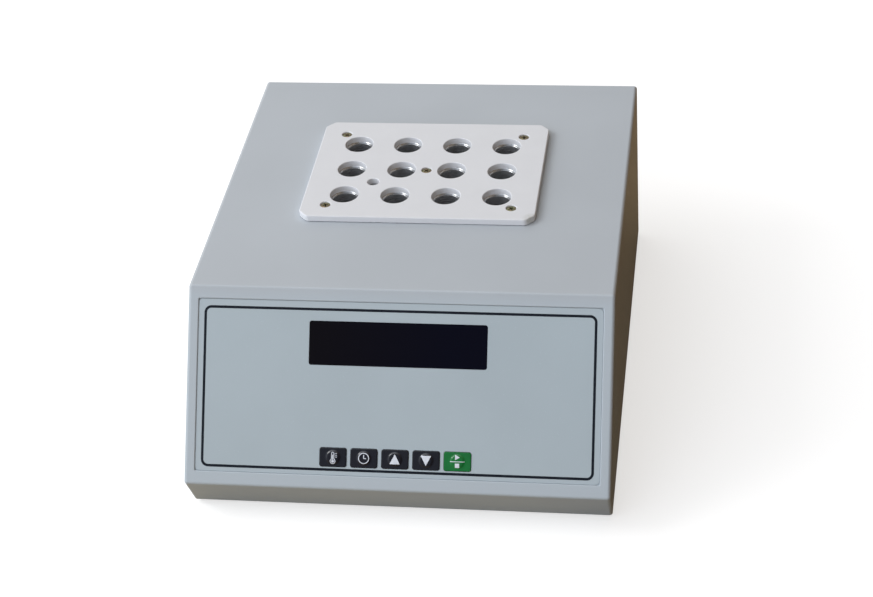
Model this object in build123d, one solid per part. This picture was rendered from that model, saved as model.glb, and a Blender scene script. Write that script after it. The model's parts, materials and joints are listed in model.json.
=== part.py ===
from build123d import *
import os
from math import atan2, cos, hypot, radians, sin

# A bench reactor that heats sealed 16 mm test vials: dry heating block under a white top plate, sloped
# front panel with keys and a display. Millimetres. X runs to the operator's right, Y to the back, Z up.
# The origin is on the bench, under the middle of the whole machine.

# ---------------------------------------------------------------- case
case_width = 260.0
case_height = 121.5
top_depth = 238.0            # flat top, from the back edge to the crease
panel_run = 73.0             # how far the front panel comes forward of the crease
lip_rise = 25.0              # height of the undercut lip below the front panel
lip_run = 13.0               # how far the lip goes back under the front
sheet = 1.5
bend_radius = 2.5            # outside radius of every bend
flange_width = 12.0          # inside flanges that the base plate and the rear panel are screwed to
weld_overlap = 0.75          # how far the flanges run into the walls that they are welded to
joint_gap = 0.3              # between sheets that are screwed together
foot_height = 3.0
foot_radius = 9.0
foot_bevel = 0.75
foot_inset_x = 26.0
foot_inset_y = 30.0
screw_radius = 1.5           # case and board screws
screw_clearance = 0.3
thread_clearance = 0.08
screw_head_radius = 2.8
screw_head_height = 2.0
screw_head_round = 0.6       # rounding of its upper edge
screw_cross_margin = 1.25    # from the head's rim to the ends of its cross recess
screw_cross_width = 0.85
screw_cross_depth = 0.8
screw_spare = 2.0            # how far a screw reaches past the last sheet it holds

# ---------------------------------------------------------------- front panel, measured down its slope
recess_side = 6.6            # border left and right of the recess
recess_top = 8.0             # border above it
recess_bottom = 8.1          # border below it
recess_depth = 1.2
recess_corner = 0.8
overlay_thickness = 0.8
overlay_gap = 0.45
overlay_corner = 3.0
window_width = 108.8
window_length = 26.8
window_top = 19.8            # from the crease to the window's upper edge
window_gap = 0.15
window_corner = 1.0
window_ledge = 2.5
key_count = 5
key_width = 16.4
key_length = 11.4
key_pitch = 18.95
key_rise = 11.0              # from the recess's lower edge up to the middle of the keys
key_corner = 1.6
key_proud = 0.9              # how far a key stands out of the overlay
key_bevel = 0.45
key_bevel_angle = 50.0
key_gap = 0.25
key_travel = 0.6
key_flange = 1.0             # thickness of the tabs that keep a key in, and how far they reach
key_stem_radius = 2.4
key_stem = 0.6
board_gap = 10.5             # from the inner side of the panel to the control board
board_thickness = 1.6
board_corner = 2.0
board_side = 25.0            # from the recess's sides to the board's sides
board_end = 4.0              # from the recess's upper and lower edges to the board's edges
spacer_radius = 3.2
spacer_inset = 6.0
switch_side = 6.0
switch_height = 3.8
plunger_radius = 1.75
plunger_gap = 0.25           # left between a key's stem and its switch when the key is pressed
module_border = 3.0          # frame of the display module round the window's opening
module_lip = 0.5
module_sunk = 1.0

# ---------------------------------------------------------------- heating block and top plate
columns = 4
rows = 3
column_pitch = 32.8
row_pitch = 29.4
vial_bore_radius = 8.3       # inside the liners, for vials of 16 mm
liner_wall = 1.0
liner_floor = 1.5
liner_gap = 0.03             # round the liners, in the block's holes
block_from_back = 114.5      # middle of the block, from the back of the case
block_side_wall = 8.5        # between the outer liners and the block's sides
block_end_wall = 9.3         # between the outer liners and the block's front and back
block_floor = 8.5            # solid metal under the liners
block_edge = 1.0
plate_over_side = 8.3        # how far the plate reaches past the block's sides
plate_over_end = 7.4         # how far it reaches past the block's front and back
plate_shift = 1.0            # the plate sits a little behind the middle of the bores
plate_thickness = 4.0
plate_corner = 7.0
plate_edge = 0.6             # rounding of the plate's upper edge
plate_bore_edge = 0.8        # rounding of its holes' mouths
plate_bore_gap = 0.25        # the plate's holes are this much wider than the bores, in radius
gasket_thickness = 0.5
gasket_inset = 1.2
opening_gap = 3.0            # between the block and the edge of the case's top opening
opening_corner = 4.0
plate_screw_side = 10.3      # plate screws beyond the outer columns
plate_screw_end = 11.9       # plate screws beyond the outer rows
plate_screw_radius = 1.9
plate_screw_head = 3.2
plate_screw_gap = 0.15
plate_screw_length = 16.0
plate_screw_sunk = 0.9
plate_screw_cross_margin = 1.45
plate_screw_cross_width = 0.8
plate_screw_cross_depth = 0.65
well_radius = 3.2            # thermometer well between four bores
well_wall = 0.8
well_gap = 0.4
well_depth = 45.0
heater_thickness = 3.0
heater_inset = 2.0
clamp_thickness = 3.0
clamp_screw_length = 14.0
post_height = 34.0           # room for insulation and cool air between the base plate and the block
post_from_middle_x = 48.0
post_from_middle_y = 34.0
post_radius = 6.0
post_foot_radius = 9.0       # the wide foot that carries the lower insulation
post_screw_radius = 2.0
post_screw_head = 3.6
post_screw_spare = 2.0       # metal left between a post's screw hole and a liner's hole
jacket_thickness = 12.0
jacket_gap = 0.3
pad_thickness = 18.0
probe_radius = 2.0
probe_clearance = 0.05
probe_depth = 30.0
probe_tail = 22.0
probe_tail_radius = 2.8
cutout_radius = 8.0
cutout_height = 7.0
cutout_tab = 8.0
cutout_tab_width = 6.0
cutout_tab_thickness = 0.8
cutout_tab_pitch = 8.0

# ---------------------------------------------------------------- rear fittings
inlet_from_side = 52.0
inlet_rise = 41.0            # middle of the inlet above the case's lower edge
inlet_flange_width = 50.0
inlet_flange_height = 35.0
inlet_flange = 2.5
inlet_corner = 6.0
inlet_body_width = 28.0
inlet_body_height = 31.0
inlet_body_depth = 26.0
inlet_screw_pitch = 40.0
inlet_screw_head = 1.6
nut_radius = 3.1
nut_height = 2.2
socket_width = 24.2
socket_height = 16.6
socket_depth = 18.0
socket_corner = 4.0
socket_lift = 5.2            # the socket's middle above the inlet's middle
pin_width = 4.0
pin_thickness = 2.0
pin_length = 12.0
pin_pitch = 7.0
pin_gap = 0.05
pin_tail = 8.0
earth_lift = 2.0
drawer_width = 21.0
drawer_height = 7.6
drawer_depth = 24.0
drawer_drop = 9.8            # the drawer's middle below the inlet's middle
drawer_gap = 0.2
drawer_front = 2.0
drawer_proud = 0.8
drawer_travel = 18.0
grip_width = 8.0
grip_depth = 1.2
fuse_radius = 2.6
fuse_glass_radius = 2.3
fuse_length = 20.0
fuse_cap = 5.5
fuse_pitch = 9.2
fuse_gap = 0.15

switch_from_inlet = 44.0
bezel_width = 15.0
bezel_height = 21.0
bezel = 2.0
bezel_corner = 1.5
bezel_lap = 1.0
switch_body_depth = 20.0
switch_tab = 8.0
switch_tab_width = 4.8
switch_tab_thickness = 0.8
switch_tab_pitch = 6.0
rocker_width = 9.6
rocker_height = 14.6
rocker_proud = 0.9           # how far the rocker's ends would stand out if it lay level
rocker_dip = 1.3
rocker_tilt = 8.0            # either way from level
rocker_pin_depth = 5.0       # below the bezel's face
rocker_pin_radius = 1.2
rocker_pin_clearance = 0.05
rocker_gap = 0.35
rocker_base = 2.6            # how far the rocker reaches behind its pin
rocker_waist = 0.75          # how much shorter the rocker is beside its pin, at each end
rocker_neck = 2.4            # half height of its inner end

vent_count = 14
vent_pitch = 6.0
vent_width = 2.6
vent_corner = 1.2
rear_vent_height = 34.0
rear_vent_from_side = 64.0
rear_vent_rise = 71.0
base_vent_length = 17.0
base_vent_from_back = 34.0
rear_screw_inset = 6.5
low_screw_from_side = 60.0

# ---------------------------------------------------------------- electronics on the base
power_board_width = 104.0
power_board_depth = 66.0
power_board_side_gap = 6.5   # from the cover's flange
power_board_back_gap = 14.0  # from the insulation
power_board_lift = 6.0
core_width = 44.0
core_depth = 18.0
core_height = 38.0
core_window = 9.0
core_yoke = 7.6
core_leg = 13.0
core_from_edge = 34.0        # the transformer's middle from the power board's left edge
coil_wall = 6.0
coil_corner = 3.0
terminal_width = 14.0
terminal_length = 40.0
terminal_height = 12.0
terminal_count = 5
terminal_pitch = 8.0
terminal_hole = 2.0
terminal_inset = 4.0
relay_width = 18.0
relay_length = 22.0
relay_height = 16.0
capacitor_radius = 7.0
capacitor_height = 20.0
part_gap = 6.0               # between the parts on the power board
sink_width = 60.0
sink_depth = 34.0
sink_height = 40.0
sink_fin = 1.6
sink_fin_count = 7
sink_plate = 4.0
sink_side_gap = 24.5
triac_width = 16.0
triac_thickness = 4.5
triac_height = 15.0
chip_side = 14.0
chip_height = 2.4
chip_from_middle = 28.0
buzzer_radius = 6.0
buzzer_height = 7.0
buzzer_from_middle = 28.0
header_width = 8.0
header_length = 28.0
header_height = 8.0
header_from_side = 16.0      # from the board's left side to the header's middle

# ---------------------------------------------------------------- sizes that follow
panel_drop = case_height - lip_rise
panel_slope = hypot(panel_run, panel_drop)
normal_y = -panel_drop / panel_slope
normal_z = panel_run / panel_slope
panel_angle = atan2(panel_drop, panel_run)
lip_angle = atan2(lip_rise, lip_run)
nose_cut = bend_radius * (cos((panel_angle - lip_angle) / 2) / sin((panel_angle + lip_angle) / 2) - 1)
rear_reach = inlet_flange + inlet_screw_head
rear_y = (top_depth + panel_run - nose_cut - rear_reach) / 2
crease_y = rear_y - top_depth
front_y = crease_y - panel_run
lip_back_y = front_y + lip_run
base_z = foot_height
top_z = base_z + case_height
inner_half = case_width / 2 - sheet
floor_z = base_z + sheet                     # upper face of the base plate
panel_inner_y = rear_y - sheet               # inner face of the rear panel

recess_width = case_width - 2 * recess_side
recess_length = panel_slope - recess_top - recess_bottom
recess_middle = recess_top + recess_length / 2
recess_floor = -recess_depth                 # heights here are along the panel's outward normal
panel_inside = recess_floor - sheet
overlay_face = recess_floor + overlay_thickness
window_middle = window_top + window_length / 2
key_middle = recess_top + recess_length - key_rise
key_row = [(index - (key_count - 1) / 2) * key_pitch for index in range(key_count)]
key_names = ["key_temperature", "key_time", "key_up", "key_down", "key_start"]
key_flange_out = panel_inside - joint_gap
key_flange_in = key_flange_out - key_flange
key_inner = key_flange_in - key_stem
board_face = panel_inside - board_gap
board_back = board_face - board_thickness
board_width = recess_width - 2 * board_side
board_length = recess_length - 2 * board_end
plunger_tip = key_inner - key_travel - plunger_gap

block_y = rear_y - block_from_back
plate_y = block_y + plate_shift
outer_column = (columns - 1) / 2 * column_pitch
outer_row = (rows - 1) / 2 * row_pitch
liner_radius = vial_bore_radius + liner_wall
clamp_bottom = floor_z + post_height
heater_bottom = clamp_bottom + clamp_thickness
block_bottom = heater_bottom + heater_thickness
block_height = top_z - block_bottom
vial_bore_depth = block_height - liner_floor - block_floor       # 70 mm in a case of this height
block_half_x = outer_column + liner_radius + block_side_wall
block_half_y = outer_row + liner_radius + block_end_wall
post_screw_grip = block_floor - post_screw_spare - joint_gap
pad_bottom = clamp_bottom - pad_thickness
plate_bottom = top_z + gasket_thickness
plate_top = plate_bottom + plate_thickness
plate_width = 2 * (block_half_x + plate_over_side)
plate_depth = 2 * (block_half_y + plate_over_end)
plate_bore_radius = vial_bore_radius + plate_bore_gap
plate_screw_top = plate_top - plate_screw_sunk
plate_screw_cone = plate_screw_head - plate_screw_radius
plate_screw_x = outer_column + plate_screw_side
plate_screw_y = outer_row + plate_screw_end
probe_z = top_z - block_height / 2
bore_places = [
    ((column - (columns - 1) / 2) * column_pitch, block_y + ((rows - 1) / 2 - row) * row_pitch)
    for row in range(rows)
    for column in range(columns)
]
well_x = -column_pitch
well_y = block_y - row_pitch / 2


def four(half_x, half_y, middle_x=0.0, middle_y=0.0):
    """The four corners of a rectangle, as places in X and Y."""
    signs = [(side_x, side_y) for side_x in (-1, 1) for side_y in (-1, 1)]
    return [(middle_x + side_x * half_x, middle_y + side_y * half_y) for side_x, side_y in signs]


corner_screw_places = four(plate_screw_x, plate_screw_y, 0, block_y)
plate_screw_places = corner_screw_places + [(0, block_y)]
post_places = four(post_from_middle_x, post_from_middle_y, 0, block_y)

flange_middle = inner_half - flange_width / 2
base_screw_places = [
    (side * flange_middle, y)
    for side in (-1, 1)
    for y in (lip_back_y + flange_width, block_y, rear_y - 3 * flange_width / 2)
]
side_screw_places = [
    (side * (inner_half - rear_screw_inset), z)
    for side in (-1, 1)
    for z in (floor_z + 2 * rear_screw_inset, top_z - sheet - rear_screw_inset)
]
low_screw_x = case_width / 2 - low_screw_from_side
low_screw_places = [(side * low_screw_x, floor_z + flange_width / 2) for side in (-1, 1)]
foot_places = [
    (side * (case_width / 2 - foot_inset_x), y)
    for side in (-1, 1)
    for y in (lip_back_y + foot_inset_y, rear_y - foot_inset_y)
]
control_board_holes = [
    (side * (board_width / 2 - spacer_inset), recess_middle + end * (board_length / 2 - spacer_inset))
    for side in (-1, 1)
    for end in (-1, 1)
]

inlet_x = case_width / 2 - inlet_from_side
inlet_z = base_z + inlet_rise
inlet_face = rear_y + inlet_flange
inlet_screw_places = [(inlet_x + side * inlet_screw_pitch / 2, inlet_z) for side in (-1, 1)]
socket_z = inlet_z + socket_lift
socket_floor = inlet_face - socket_depth
drawer_z = inlet_z - drawer_drop
pin_places = [
    (inlet_x - pin_pitch, socket_z - earth_lift),
    (inlet_x + pin_pitch, socket_z - earth_lift),
    (inlet_x, socket_z + earth_lift),
]
switch_x = inlet_x - switch_from_inlet
switch_z = inlet_z
switch_face = rear_y + bezel
rocker_pin_y = switch_face - rocker_pin_depth
rocker_end = rocker_pin_depth + rocker_proud             # from the pin to the rocker's ends, outwards
rocker_sweep = rocker_height / 2 * cos(radians(rocker_tilt)) + rocker_end * sin(radians(rocker_tilt))

power_board_x = -inner_half + flange_width + power_board_side_gap + power_board_width / 2
power_board_y = (block_y - block_half_y - jacket_gap - jacket_thickness - power_board_back_gap
                 - power_board_depth / 2)
power_board_z = floor_z + power_board_lift + board_thickness
power_board_holes = four(power_board_width / 2 - spacer_inset, power_board_depth / 2 - spacer_inset,
                         power_board_x, power_board_y)
core_x = power_board_x - power_board_width / 2 + core_from_edge
sink_x = inner_half - flange_width - sink_side_gap - sink_width / 2
sink_y = power_board_y
sink_fin_pitch = (sink_width - sink_fin) / (sink_fin_count - 1)
sink_holes = [(sink_x + side * (sink_width - sink_fin - sink_fin_pitch) / 2, sink_y) for side in (-1, 1)]

panel = Plane(origin=(0, crease_y, top_z), x_dir=(1, 0, 0), z_dir=(0, normal_y, normal_z))
through = 5.0                # how far cutting shapes run past what they cut


# ---------------------------------------------------------------- helpers
def block(x0, x1, y0, y1, z0, z1):
    """A box between two corners."""
    return Pos((x0 + x1) / 2, (y0 + y1) / 2, (z0 + z1) / 2) * Box(abs(x1 - x0), abs(y1 - y0), abs(z1 - z0))


def block_at(x, y, width, depth, z0, z1):
    """A box that stands centred on a place."""
    return block(x - width / 2, x + width / 2, y - depth / 2, y + depth / 2, z0, z1)


def rod(x, y, z0, z1, radius):
    """An upright cylinder from z0 to z1."""
    return Pos(x, y, (z0 + z1) / 2) * Cylinder(radius, z1 - z0)


def rod_y(x, y0, y1, z, radius):
    """A cylinder that lies along Y from y0 to y1."""
    return Pos(x, (y0 + y1) / 2, z) * Rot(90, 0, 0) * Cylinder(radius, y1 - y0)


def rod_x(x, y, z, length, radius):
    """A cylinder that lies along X, centred on x."""
    return Pos(x, y, z) * Rot(0, 90, 0) * Cylinder(radius, length)


def tablet(width, depth, corner, z0, z1, x=0.0, y=0.0):
    """An upright plate with rounded corners."""
    return Pos(x, y, z0) * extrude(RectangleRounded(width, depth, corner), z1 - z0)


def on_panel(x, down, out):
    """The place at x, a length down the front panel's slope and a height along its normal."""
    return panel.location * Pos(x, -down, out)


def panel_tablet(x, down, width, length, corner, out0, out1):
    """A plate with rounded corners, parallel to the front panel."""
    return on_panel(x, down, out0) * extrude(RectangleRounded(width, length, corner), out1 - out0)


def panel_rod(x, down, out0, out1, radius):
    """A cylinder square to the front panel."""
    return on_panel(x, down, (out0 + out1) / 2) * Cylinder(radius, out1 - out0)


def screw(length, radius=screw_radius, head_radius=screw_head_radius, head_height=screw_head_height):
    """A pan head screw with a cross recess: its head stands on z = 0 and its shank reaches down."""
    head = Pos(0, 0, head_height / 2) * Cylinder(head_radius, head_height)
    head = fillet(head.edges().group_by(Axis.Z)[-1], screw_head_round)
    cross = Box(2 * (head_radius - screw_cross_margin), screw_cross_width, 2 * screw_cross_depth)
    head -= Pos(0, 0, head_height) * (cross + Rot(0, 0, 90) * cross)
    return head + Pos(0, 0, -length / 2) * Cylinder(radius, length)


def group(shapes):
    """Several loose solids kept in one node."""
    return Compound(children=[solid for shape in shapes for solid in shape.solids()])


# ---------------------------------------------------------------- case
def case_profile(overrun):
    """The case's side outline; overrun carries it past the open back and bottom."""
    points = [
        (rear_y + overrun, base_z - overrun),
        (rear_y + overrun, top_z),
        (crease_y, top_z),
        (front_y, base_z + lip_rise),
        (lip_back_y + lip_run * overrun / lip_rise, base_z - overrun),
    ]
    return Plane.YZ * make_face(Polyline(*points, close=True))


def bent(solid, radius):
    """Rounds every bend: all edges but those round the open bottom and the open back."""
    low = solid.bounding_box().min.Z
    back = solid.bounding_box().max.Y
    margin = sheet / 10
    bends = [
        edge
        for edge in solid.edges()
        if edge.bounding_box().max.Z > low + margin and edge.bounding_box().min.Y < back - margin
    ]
    return fillet(bends, radius)


def side_flange(side, y0, y1, z0, z1):
    """An inside flange welded to one side wall."""
    wall = inner_half + weld_overlap
    edge = inner_half - flange_width
    return block(side * wall, side * edge, y0, y1, z0, z1)


def case_cover():
    """Welded cover: top, sloped front with its recess, undercut lip and both sides, with inside flanges."""
    skin = bent(extrude(case_profile(0), case_width / 2, both=True), bend_radius)
    overrun = 2 * sheet
    inner_face = offset(case_profile(overrun), amount=-sheet, kind=Kind.INTERSECTION)
    shell = skin - bent(extrude(inner_face, inner_half, both=True), bend_radius - sheet)
    shell += panel_tablet(0, recess_middle, recess_width + 2 * sheet, recess_length + 2 * sheet,
                          recess_corner + sheet, panel_inside, recess_floor + sheet / 2)
    shell -= panel_tablet(0, recess_middle, recess_width, recess_length, recess_corner, recess_floor, through)
    flange_top = floor_z + sheet
    for side in (-1, 1):
        shell += side_flange(side, lip_back_y, panel_inner_y - joint_gap, floor_z, flange_top)
        shell += side_flange(side, panel_inner_y - sheet, panel_inner_y, flange_top, top_z - weld_overlap)
    shell += block(-inner_half, inner_half, lip_back_y, lip_back_y + flange_width, floor_z, flange_top)
    shell += block(-inner_half, inner_half, panel_inner_y - sheet, panel_inner_y,
                   top_z - sheet - flange_width, top_z - weld_overlap)
    shell -= tablet(2 * (block_half_x + opening_gap), 2 * (block_half_y + opening_gap), opening_corner,
                    top_z - through, top_z + through, 0, block_y)
    shell -= panel_tablet(0, window_middle, window_width - 2 * window_ledge, window_length - 2 * window_ledge,
                          window_corner, panel_inside - through, 0)
    for x in key_row:
        shell -= panel_tablet(x, key_middle, key_width + 4 * key_gap, key_length + 4 * key_gap,
                              key_corner, panel_inside - through, 0)
    for x, y in base_screw_places:
        shell -= rod(x, y, base_z, floor_z + through, screw_radius + thread_clearance)
    for x, z in side_screw_places:
        shell -= rod_y(x, panel_inner_y - through, rear_y, z, screw_radius + thread_clearance)
    return shell


def base_plate():
    """Flat bottom that closes the cover from below, with a turned-up rear edge and air slots."""
    lip_thickness = sheet * hypot(1, lip_run / lip_rise)
    front_edge = lip_back_y + lip_thickness + joint_gap
    half = inner_half - joint_gap
    edge_half = inner_half - flange_width - 4 * joint_gap
    plate = block(-half, half, front_edge, panel_inner_y, base_z, floor_z)
    plate += block(-edge_half, edge_half, panel_inner_y - sheet, panel_inner_y, base_z, floor_z + flange_width)
    for index in range(vent_count):
        x = (index - (vent_count - 1) / 2) * vent_pitch
        plate -= tablet(vent_width, base_vent_length, vent_corner, 0, floor_z + through, x,
                        rear_y - base_vent_from_back)
    for x, y in base_screw_places:
        plate -= rod(x, y, 0, floor_z + through, screw_radius + screw_clearance)
    for x, y in sink_holes:
        plate -= rod(x, y, 0, floor_z + through, screw_radius + thread_clearance)
    for x, y in post_places:
        plate -= rod(x, y, 0, floor_z + through, post_screw_radius + screw_clearance)
    for x, z in low_screw_places:
        plate -= rod_y(x, panel_inner_y - through, rear_y, z, screw_radius + thread_clearance)
    return plate


def rear_panel():
    """Flat back plate with cut-outs for the inlet and the switch, and a row of air slots."""
    half = inner_half - joint_gap
    plate = block(-half, half, panel_inner_y, rear_y, base_z, top_z - sheet - joint_gap)
    upper = plate.edges().filter_by(Axis.Y).group_by(Axis.Z)[-1]
    plate = fillet(upper, bend_radius - sheet)
    deep0 = panel_inner_y - through
    deep1 = rear_y + through
    half = inlet_body_width / 2 + joint_gap
    high = inlet_body_height / 2 + joint_gap
    plate -= block(inlet_x - half, inlet_x + half, deep0, deep1, inlet_z - high, inlet_z + high)
    half = bezel_width / 2 - bezel_lap
    high = bezel_height / 2 - bezel_lap
    plate -= block(switch_x - half, switch_x + half, deep0, deep1, switch_z - high, switch_z + high)
    slot = extrude(RectangleRounded(vent_width, rear_vent_height, vent_corner), 2 * through, both=True)
    for index in range(vent_count):
        x = -case_width / 2 + rear_vent_from_side + (index - (vent_count - 1) / 2) * vent_pitch
        plate -= Pos(x, rear_y, base_z + rear_vent_rise) * Rot(90, 0, 0) * slot
    for x, z in side_screw_places + low_screw_places + inlet_screw_places:
        plate -= rod_y(x, deep0, deep1, z, screw_radius + screw_clearance)
    return plate


def feet():
    """Four stick-on rubber feet."""
    pads = []
    for x, y in foot_places:
        pad = rod(x, y, 0, foot_height, foot_radius)
        pads.append(chamfer(pad.edges().group_by(Axis.Z)[0], foot_bevel))
    return group(pads)


def base_screws():
    """Screws that hold the base plate to the cover's flanges, from below."""
    length = 2 * sheet + screw_spare
    return group([Pos(x, y, base_z) * Rot(180, 0, 0) * screw(length) for x, y in base_screw_places])


def rear_screws():
    """Screws that hold the rear panel to the flanges of the cover and the base."""
    length = 2 * sheet + screw_spare
    places = side_screw_places + low_screw_places
    return group([Pos(x, rear_y, z) * Rot(-90, 0, 0) * screw(length) for x, z in places])


# ---------------------------------------------------------------- front panel
def keypad_overlay():
    """Keypad overlay that fills the recess, with cut-outs for the display window and the keys."""
    face = panel_tablet(0, recess_middle, recess_width - 2 * overlay_gap, recess_length - 2 * overlay_gap,
                        overlay_corner, recess_floor, overlay_face)
    face -= panel_tablet(0, window_middle, window_width, window_length, window_corner,
                         recess_floor - through, through)
    for x in key_row:
        face -= panel_tablet(x, key_middle, key_width + 2 * key_gap, key_length + 2 * key_gap,
                             key_corner + key_gap, recess_floor - through, through)
    return face


def display_window():
    """Dark clear pane over the display, on the case's ledge."""
    return panel_tablet(0, window_middle, window_width - 2 * window_gap, window_length - 2 * window_gap,
                        window_corner - window_gap, recess_floor, overlay_face)


def display_module():
    """Display on the control board: a frame with sunk glass, right behind the window's opening."""
    width = window_width - 2 * window_ledge
    length = window_length - 2 * window_ledge
    face = panel_inside - joint_gap
    body = panel_tablet(0, window_middle, width + 2 * module_border, length + 2 * module_border,
                        window_corner, board_face, face)
    return body - panel_tablet(0, window_middle, width - 2 * module_lip, length - 2 * module_lip,
                               window_corner, face - module_sunk, face + through)


def key(x):
    """One push key: a bevelled cap that slides in the panel, tabs that keep it in, and a short stem."""
    shoulder = overlay_face + key_proud - key_bevel
    cap = panel_tablet(x, key_middle, key_width, key_length, key_corner, key_flange_out, shoulder)
    cap += on_panel(x, key_middle, shoulder) * extrude(
        RectangleRounded(key_width, key_length, key_corner), key_bevel, taper=key_bevel_angle)
    tab_length = key_length + 4 * key_gap + 2 * key_flange
    cap += panel_tablet(x, key_middle, key_width, tab_length, key_corner, key_flange_in, key_flange_out)
    return cap + panel_rod(x, key_middle, key_inner, key_flange_in, key_stem_radius)


def key_switches():
    """Short-travel switches on the control board, one behind each key."""
    shapes = []
    for x in key_row:
        top = board_face + switch_height
        body = on_panel(x, key_middle, (board_face + top) / 2) * Box(switch_side, switch_side, switch_height)
        shapes.append(body + panel_rod(x, key_middle, top, plunger_tip, plunger_radius))
    return group(shapes)


def control_board():
    """Printed circuit board behind the front panel."""
    board = panel_tablet(0, recess_middle, board_width, board_length, board_corner, board_back, board_face)
    for x, down in control_board_holes:
        board -= panel_rod(x, down, board_back - through, board_face + through,
                           screw_radius + screw_clearance)
    return board


def board_part(x, down, width, length, height):
    """A box-shaped part on the back of the control board."""
    return on_panel(x, down, board_back - height / 2) * Box(width, length, height)


def control_parts():
    """Processor, buzzer and plug header on the back of the control board."""
    middle = recess_middle
    chip = board_part(-chip_from_middle, middle, chip_side, chip_side, chip_height)
    header_x = -board_width / 2 + header_from_side
    header = board_part(header_x, middle, header_width, header_length, header_height)
    buzzer = panel_rod(buzzer_from_middle, middle, board_back - buzzer_height, board_back, buzzer_radius)
    return group([chip, header, buzzer])


def board_spacers():
    """Threaded studs on the inner side of the panel that carry the control board."""
    shapes = []
    for x, down in control_board_holes:
        stud = panel_rod(x, down, board_face, panel_inside, spacer_radius)
        stud -= panel_rod(x, down, board_face - through, panel_inside - sheet, screw_radius + thread_clearance)
        shapes.append(stud)
    return group(shapes)


def board_screws():
    """Screws behind the control board, into its studs."""
    length = board_thickness + board_gap / 2
    return group([on_panel(x, down, board_back) * Rot(180, 0, 0) * screw(length)
                  for x, down in control_board_holes])


# ---------------------------------------------------------------- top plate and heating block
def top_plate():
    """White heat-resistant plate with a hole over each bore, a hole for the well and countersinks."""
    plate = tablet(plate_width, plate_depth, plate_corner, plate_bottom, plate_top, 0, plate_y)
    plate = fillet(plate.edges().group_by(Axis.Z)[-1], plate_edge)
    for x, y in bore_places:
        plate -= rod(x, y, top_z, plate_top + through, plate_bore_radius)
    mouths = plate.edges().group_by(Axis.Z)[-1].filter_by(GeomType.CIRCLE)
    plate = fillet([edge for edge in mouths if edge.is_closed], plate_bore_edge)
    plate -= rod(well_x, well_y, top_z, plate_top + through, well_radius + well_gap)
    for x, y in plate_screw_places:
        plate -= screw_seat(x, y)
    return plate


def screw_seat(x, y):
    """What a countersunk plate screw needs cut away: its mouth, its cone and its clearance hole."""
    mouth_radius = plate_screw_head + plate_screw_gap
    hole_radius = plate_screw_radius + plate_screw_gap
    mouth = rod(x, y, plate_screw_top, plate_top + through, mouth_radius)
    cone = Pos(x, y, plate_screw_top - plate_screw_cone / 2) * Cone(hole_radius, mouth_radius,
                                                                    plate_screw_cone)
    return mouth + cone + rod(x, y, top_z, plate_screw_top, hole_radius)


def plate_gasket():
    """Thin heat-proof gasket under the top plate."""
    seal = tablet(plate_width - 2 * gasket_inset, plate_depth - 2 * gasket_inset, plate_corner - gasket_inset,
                  top_z, plate_bottom, 0, plate_y)
    for x, y in bore_places:
        seal -= rod(x, y, top_z - through, plate_top, plate_bore_radius)
    seal -= rod(well_x, well_y, top_z - through, plate_top, well_radius + well_gap)
    for x, y in plate_screw_places:
        seal -= rod(x, y, top_z - through, plate_top, plate_screw_radius + plate_screw_gap)
    return seal


def plate_screws():
    """Countersunk screws that hold the top plate to the block."""
    cross_length = 2 * (plate_screw_head - plate_screw_cross_margin)
    cross = Box(cross_length, plate_screw_cross_width, 2 * plate_screw_cross_depth)
    neck = plate_screw_top - plate_screw_cone
    tip = plate_screw_top - plate_screw_length
    shapes = []
    for x, y in plate_screw_places:
        head = Pos(x, y, (neck + plate_screw_top) / 2) * Cone(plate_screw_radius, plate_screw_head,
                                                              plate_screw_cone)
        head -= Pos(x, y, plate_screw_top) * (cross + Rot(0, 0, 90) * cross)
        shapes.append(head + rod(x, y, tip, neck, plate_screw_radius))
    return group(shapes)


def cup(x, y, radius, wall, depth):
    """A tube with a closed bottom that lines a hole in the block, flush with the block's top."""
    tube = rod(x, y, top_z - depth - liner_floor, top_z, radius + wall)
    return tube - rod(x, y, top_z - depth, top_z + through, radius)


def bore_liners():
    """Twelve steel liners for the vials and a thin one for the thermometer, in the block's holes."""
    cups = [cup(x, y, vial_bore_radius, liner_wall, vial_bore_depth) for x, y in bore_places]
    return group(cups + [cup(well_x, well_y, well_radius, well_wall, well_depth)])


def heating_block():
    """Aluminium block with holes for the liners and threaded holes."""
    body = block_at(0, block_y, 2 * block_half_x, 2 * block_half_y, block_bottom, top_z)
    body = chamfer(body.edges().filter_by(Axis.Z), block_edge)
    bore_floor = top_z - vial_bore_depth - liner_floor
    for x, y in bore_places:
        body -= rod(x, y, bore_floor, top_z + through, liner_radius + liner_gap)
    well_hole = well_radius + well_wall + liner_gap
    body -= rod(well_x, well_y, top_z - well_depth - liner_floor, top_z + through, well_hole)
    screw_tip = plate_screw_top - plate_screw_length
    for x, y in plate_screw_places:
        body -= rod(x, y, screw_tip - joint_gap, top_z + through, plate_screw_radius + thread_clearance)
    clamp_tip = clamp_bottom + clamp_screw_length
    for x, y in corner_screw_places:
        body -= rod(x, y, clamp_bottom, clamp_tip + joint_gap, screw_radius + thread_clearance)
    for x, y in post_places:
        body -= rod(x, y, clamp_bottom, block_bottom + post_screw_grip + joint_gap,
                    post_screw_radius + thread_clearance)
    front = block_y - block_half_y
    body -= rod_y(0, front - through, front + probe_depth + joint_gap, probe_z, probe_radius + probe_clearance)
    return body


def under_block(inset, z0, z1):
    """A plate under the block, with holes for the clamp screws and the posts' screws."""
    plate = block_at(0, block_y, 2 * (block_half_x - inset), 2 * (block_half_y - inset), z0, z1)
    for x, y in corner_screw_places:
        plate -= rod(x, y, z0 - through, z1 + through, screw_radius + screw_clearance)
    for x, y in post_places:
        plate -= rod(x, y, z0 - through, z1 + through, post_screw_radius + screw_clearance)
    return plate


def heater():
    """Flat heater under the block."""
    return under_block(heater_inset, heater_bottom, block_bottom)


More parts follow.
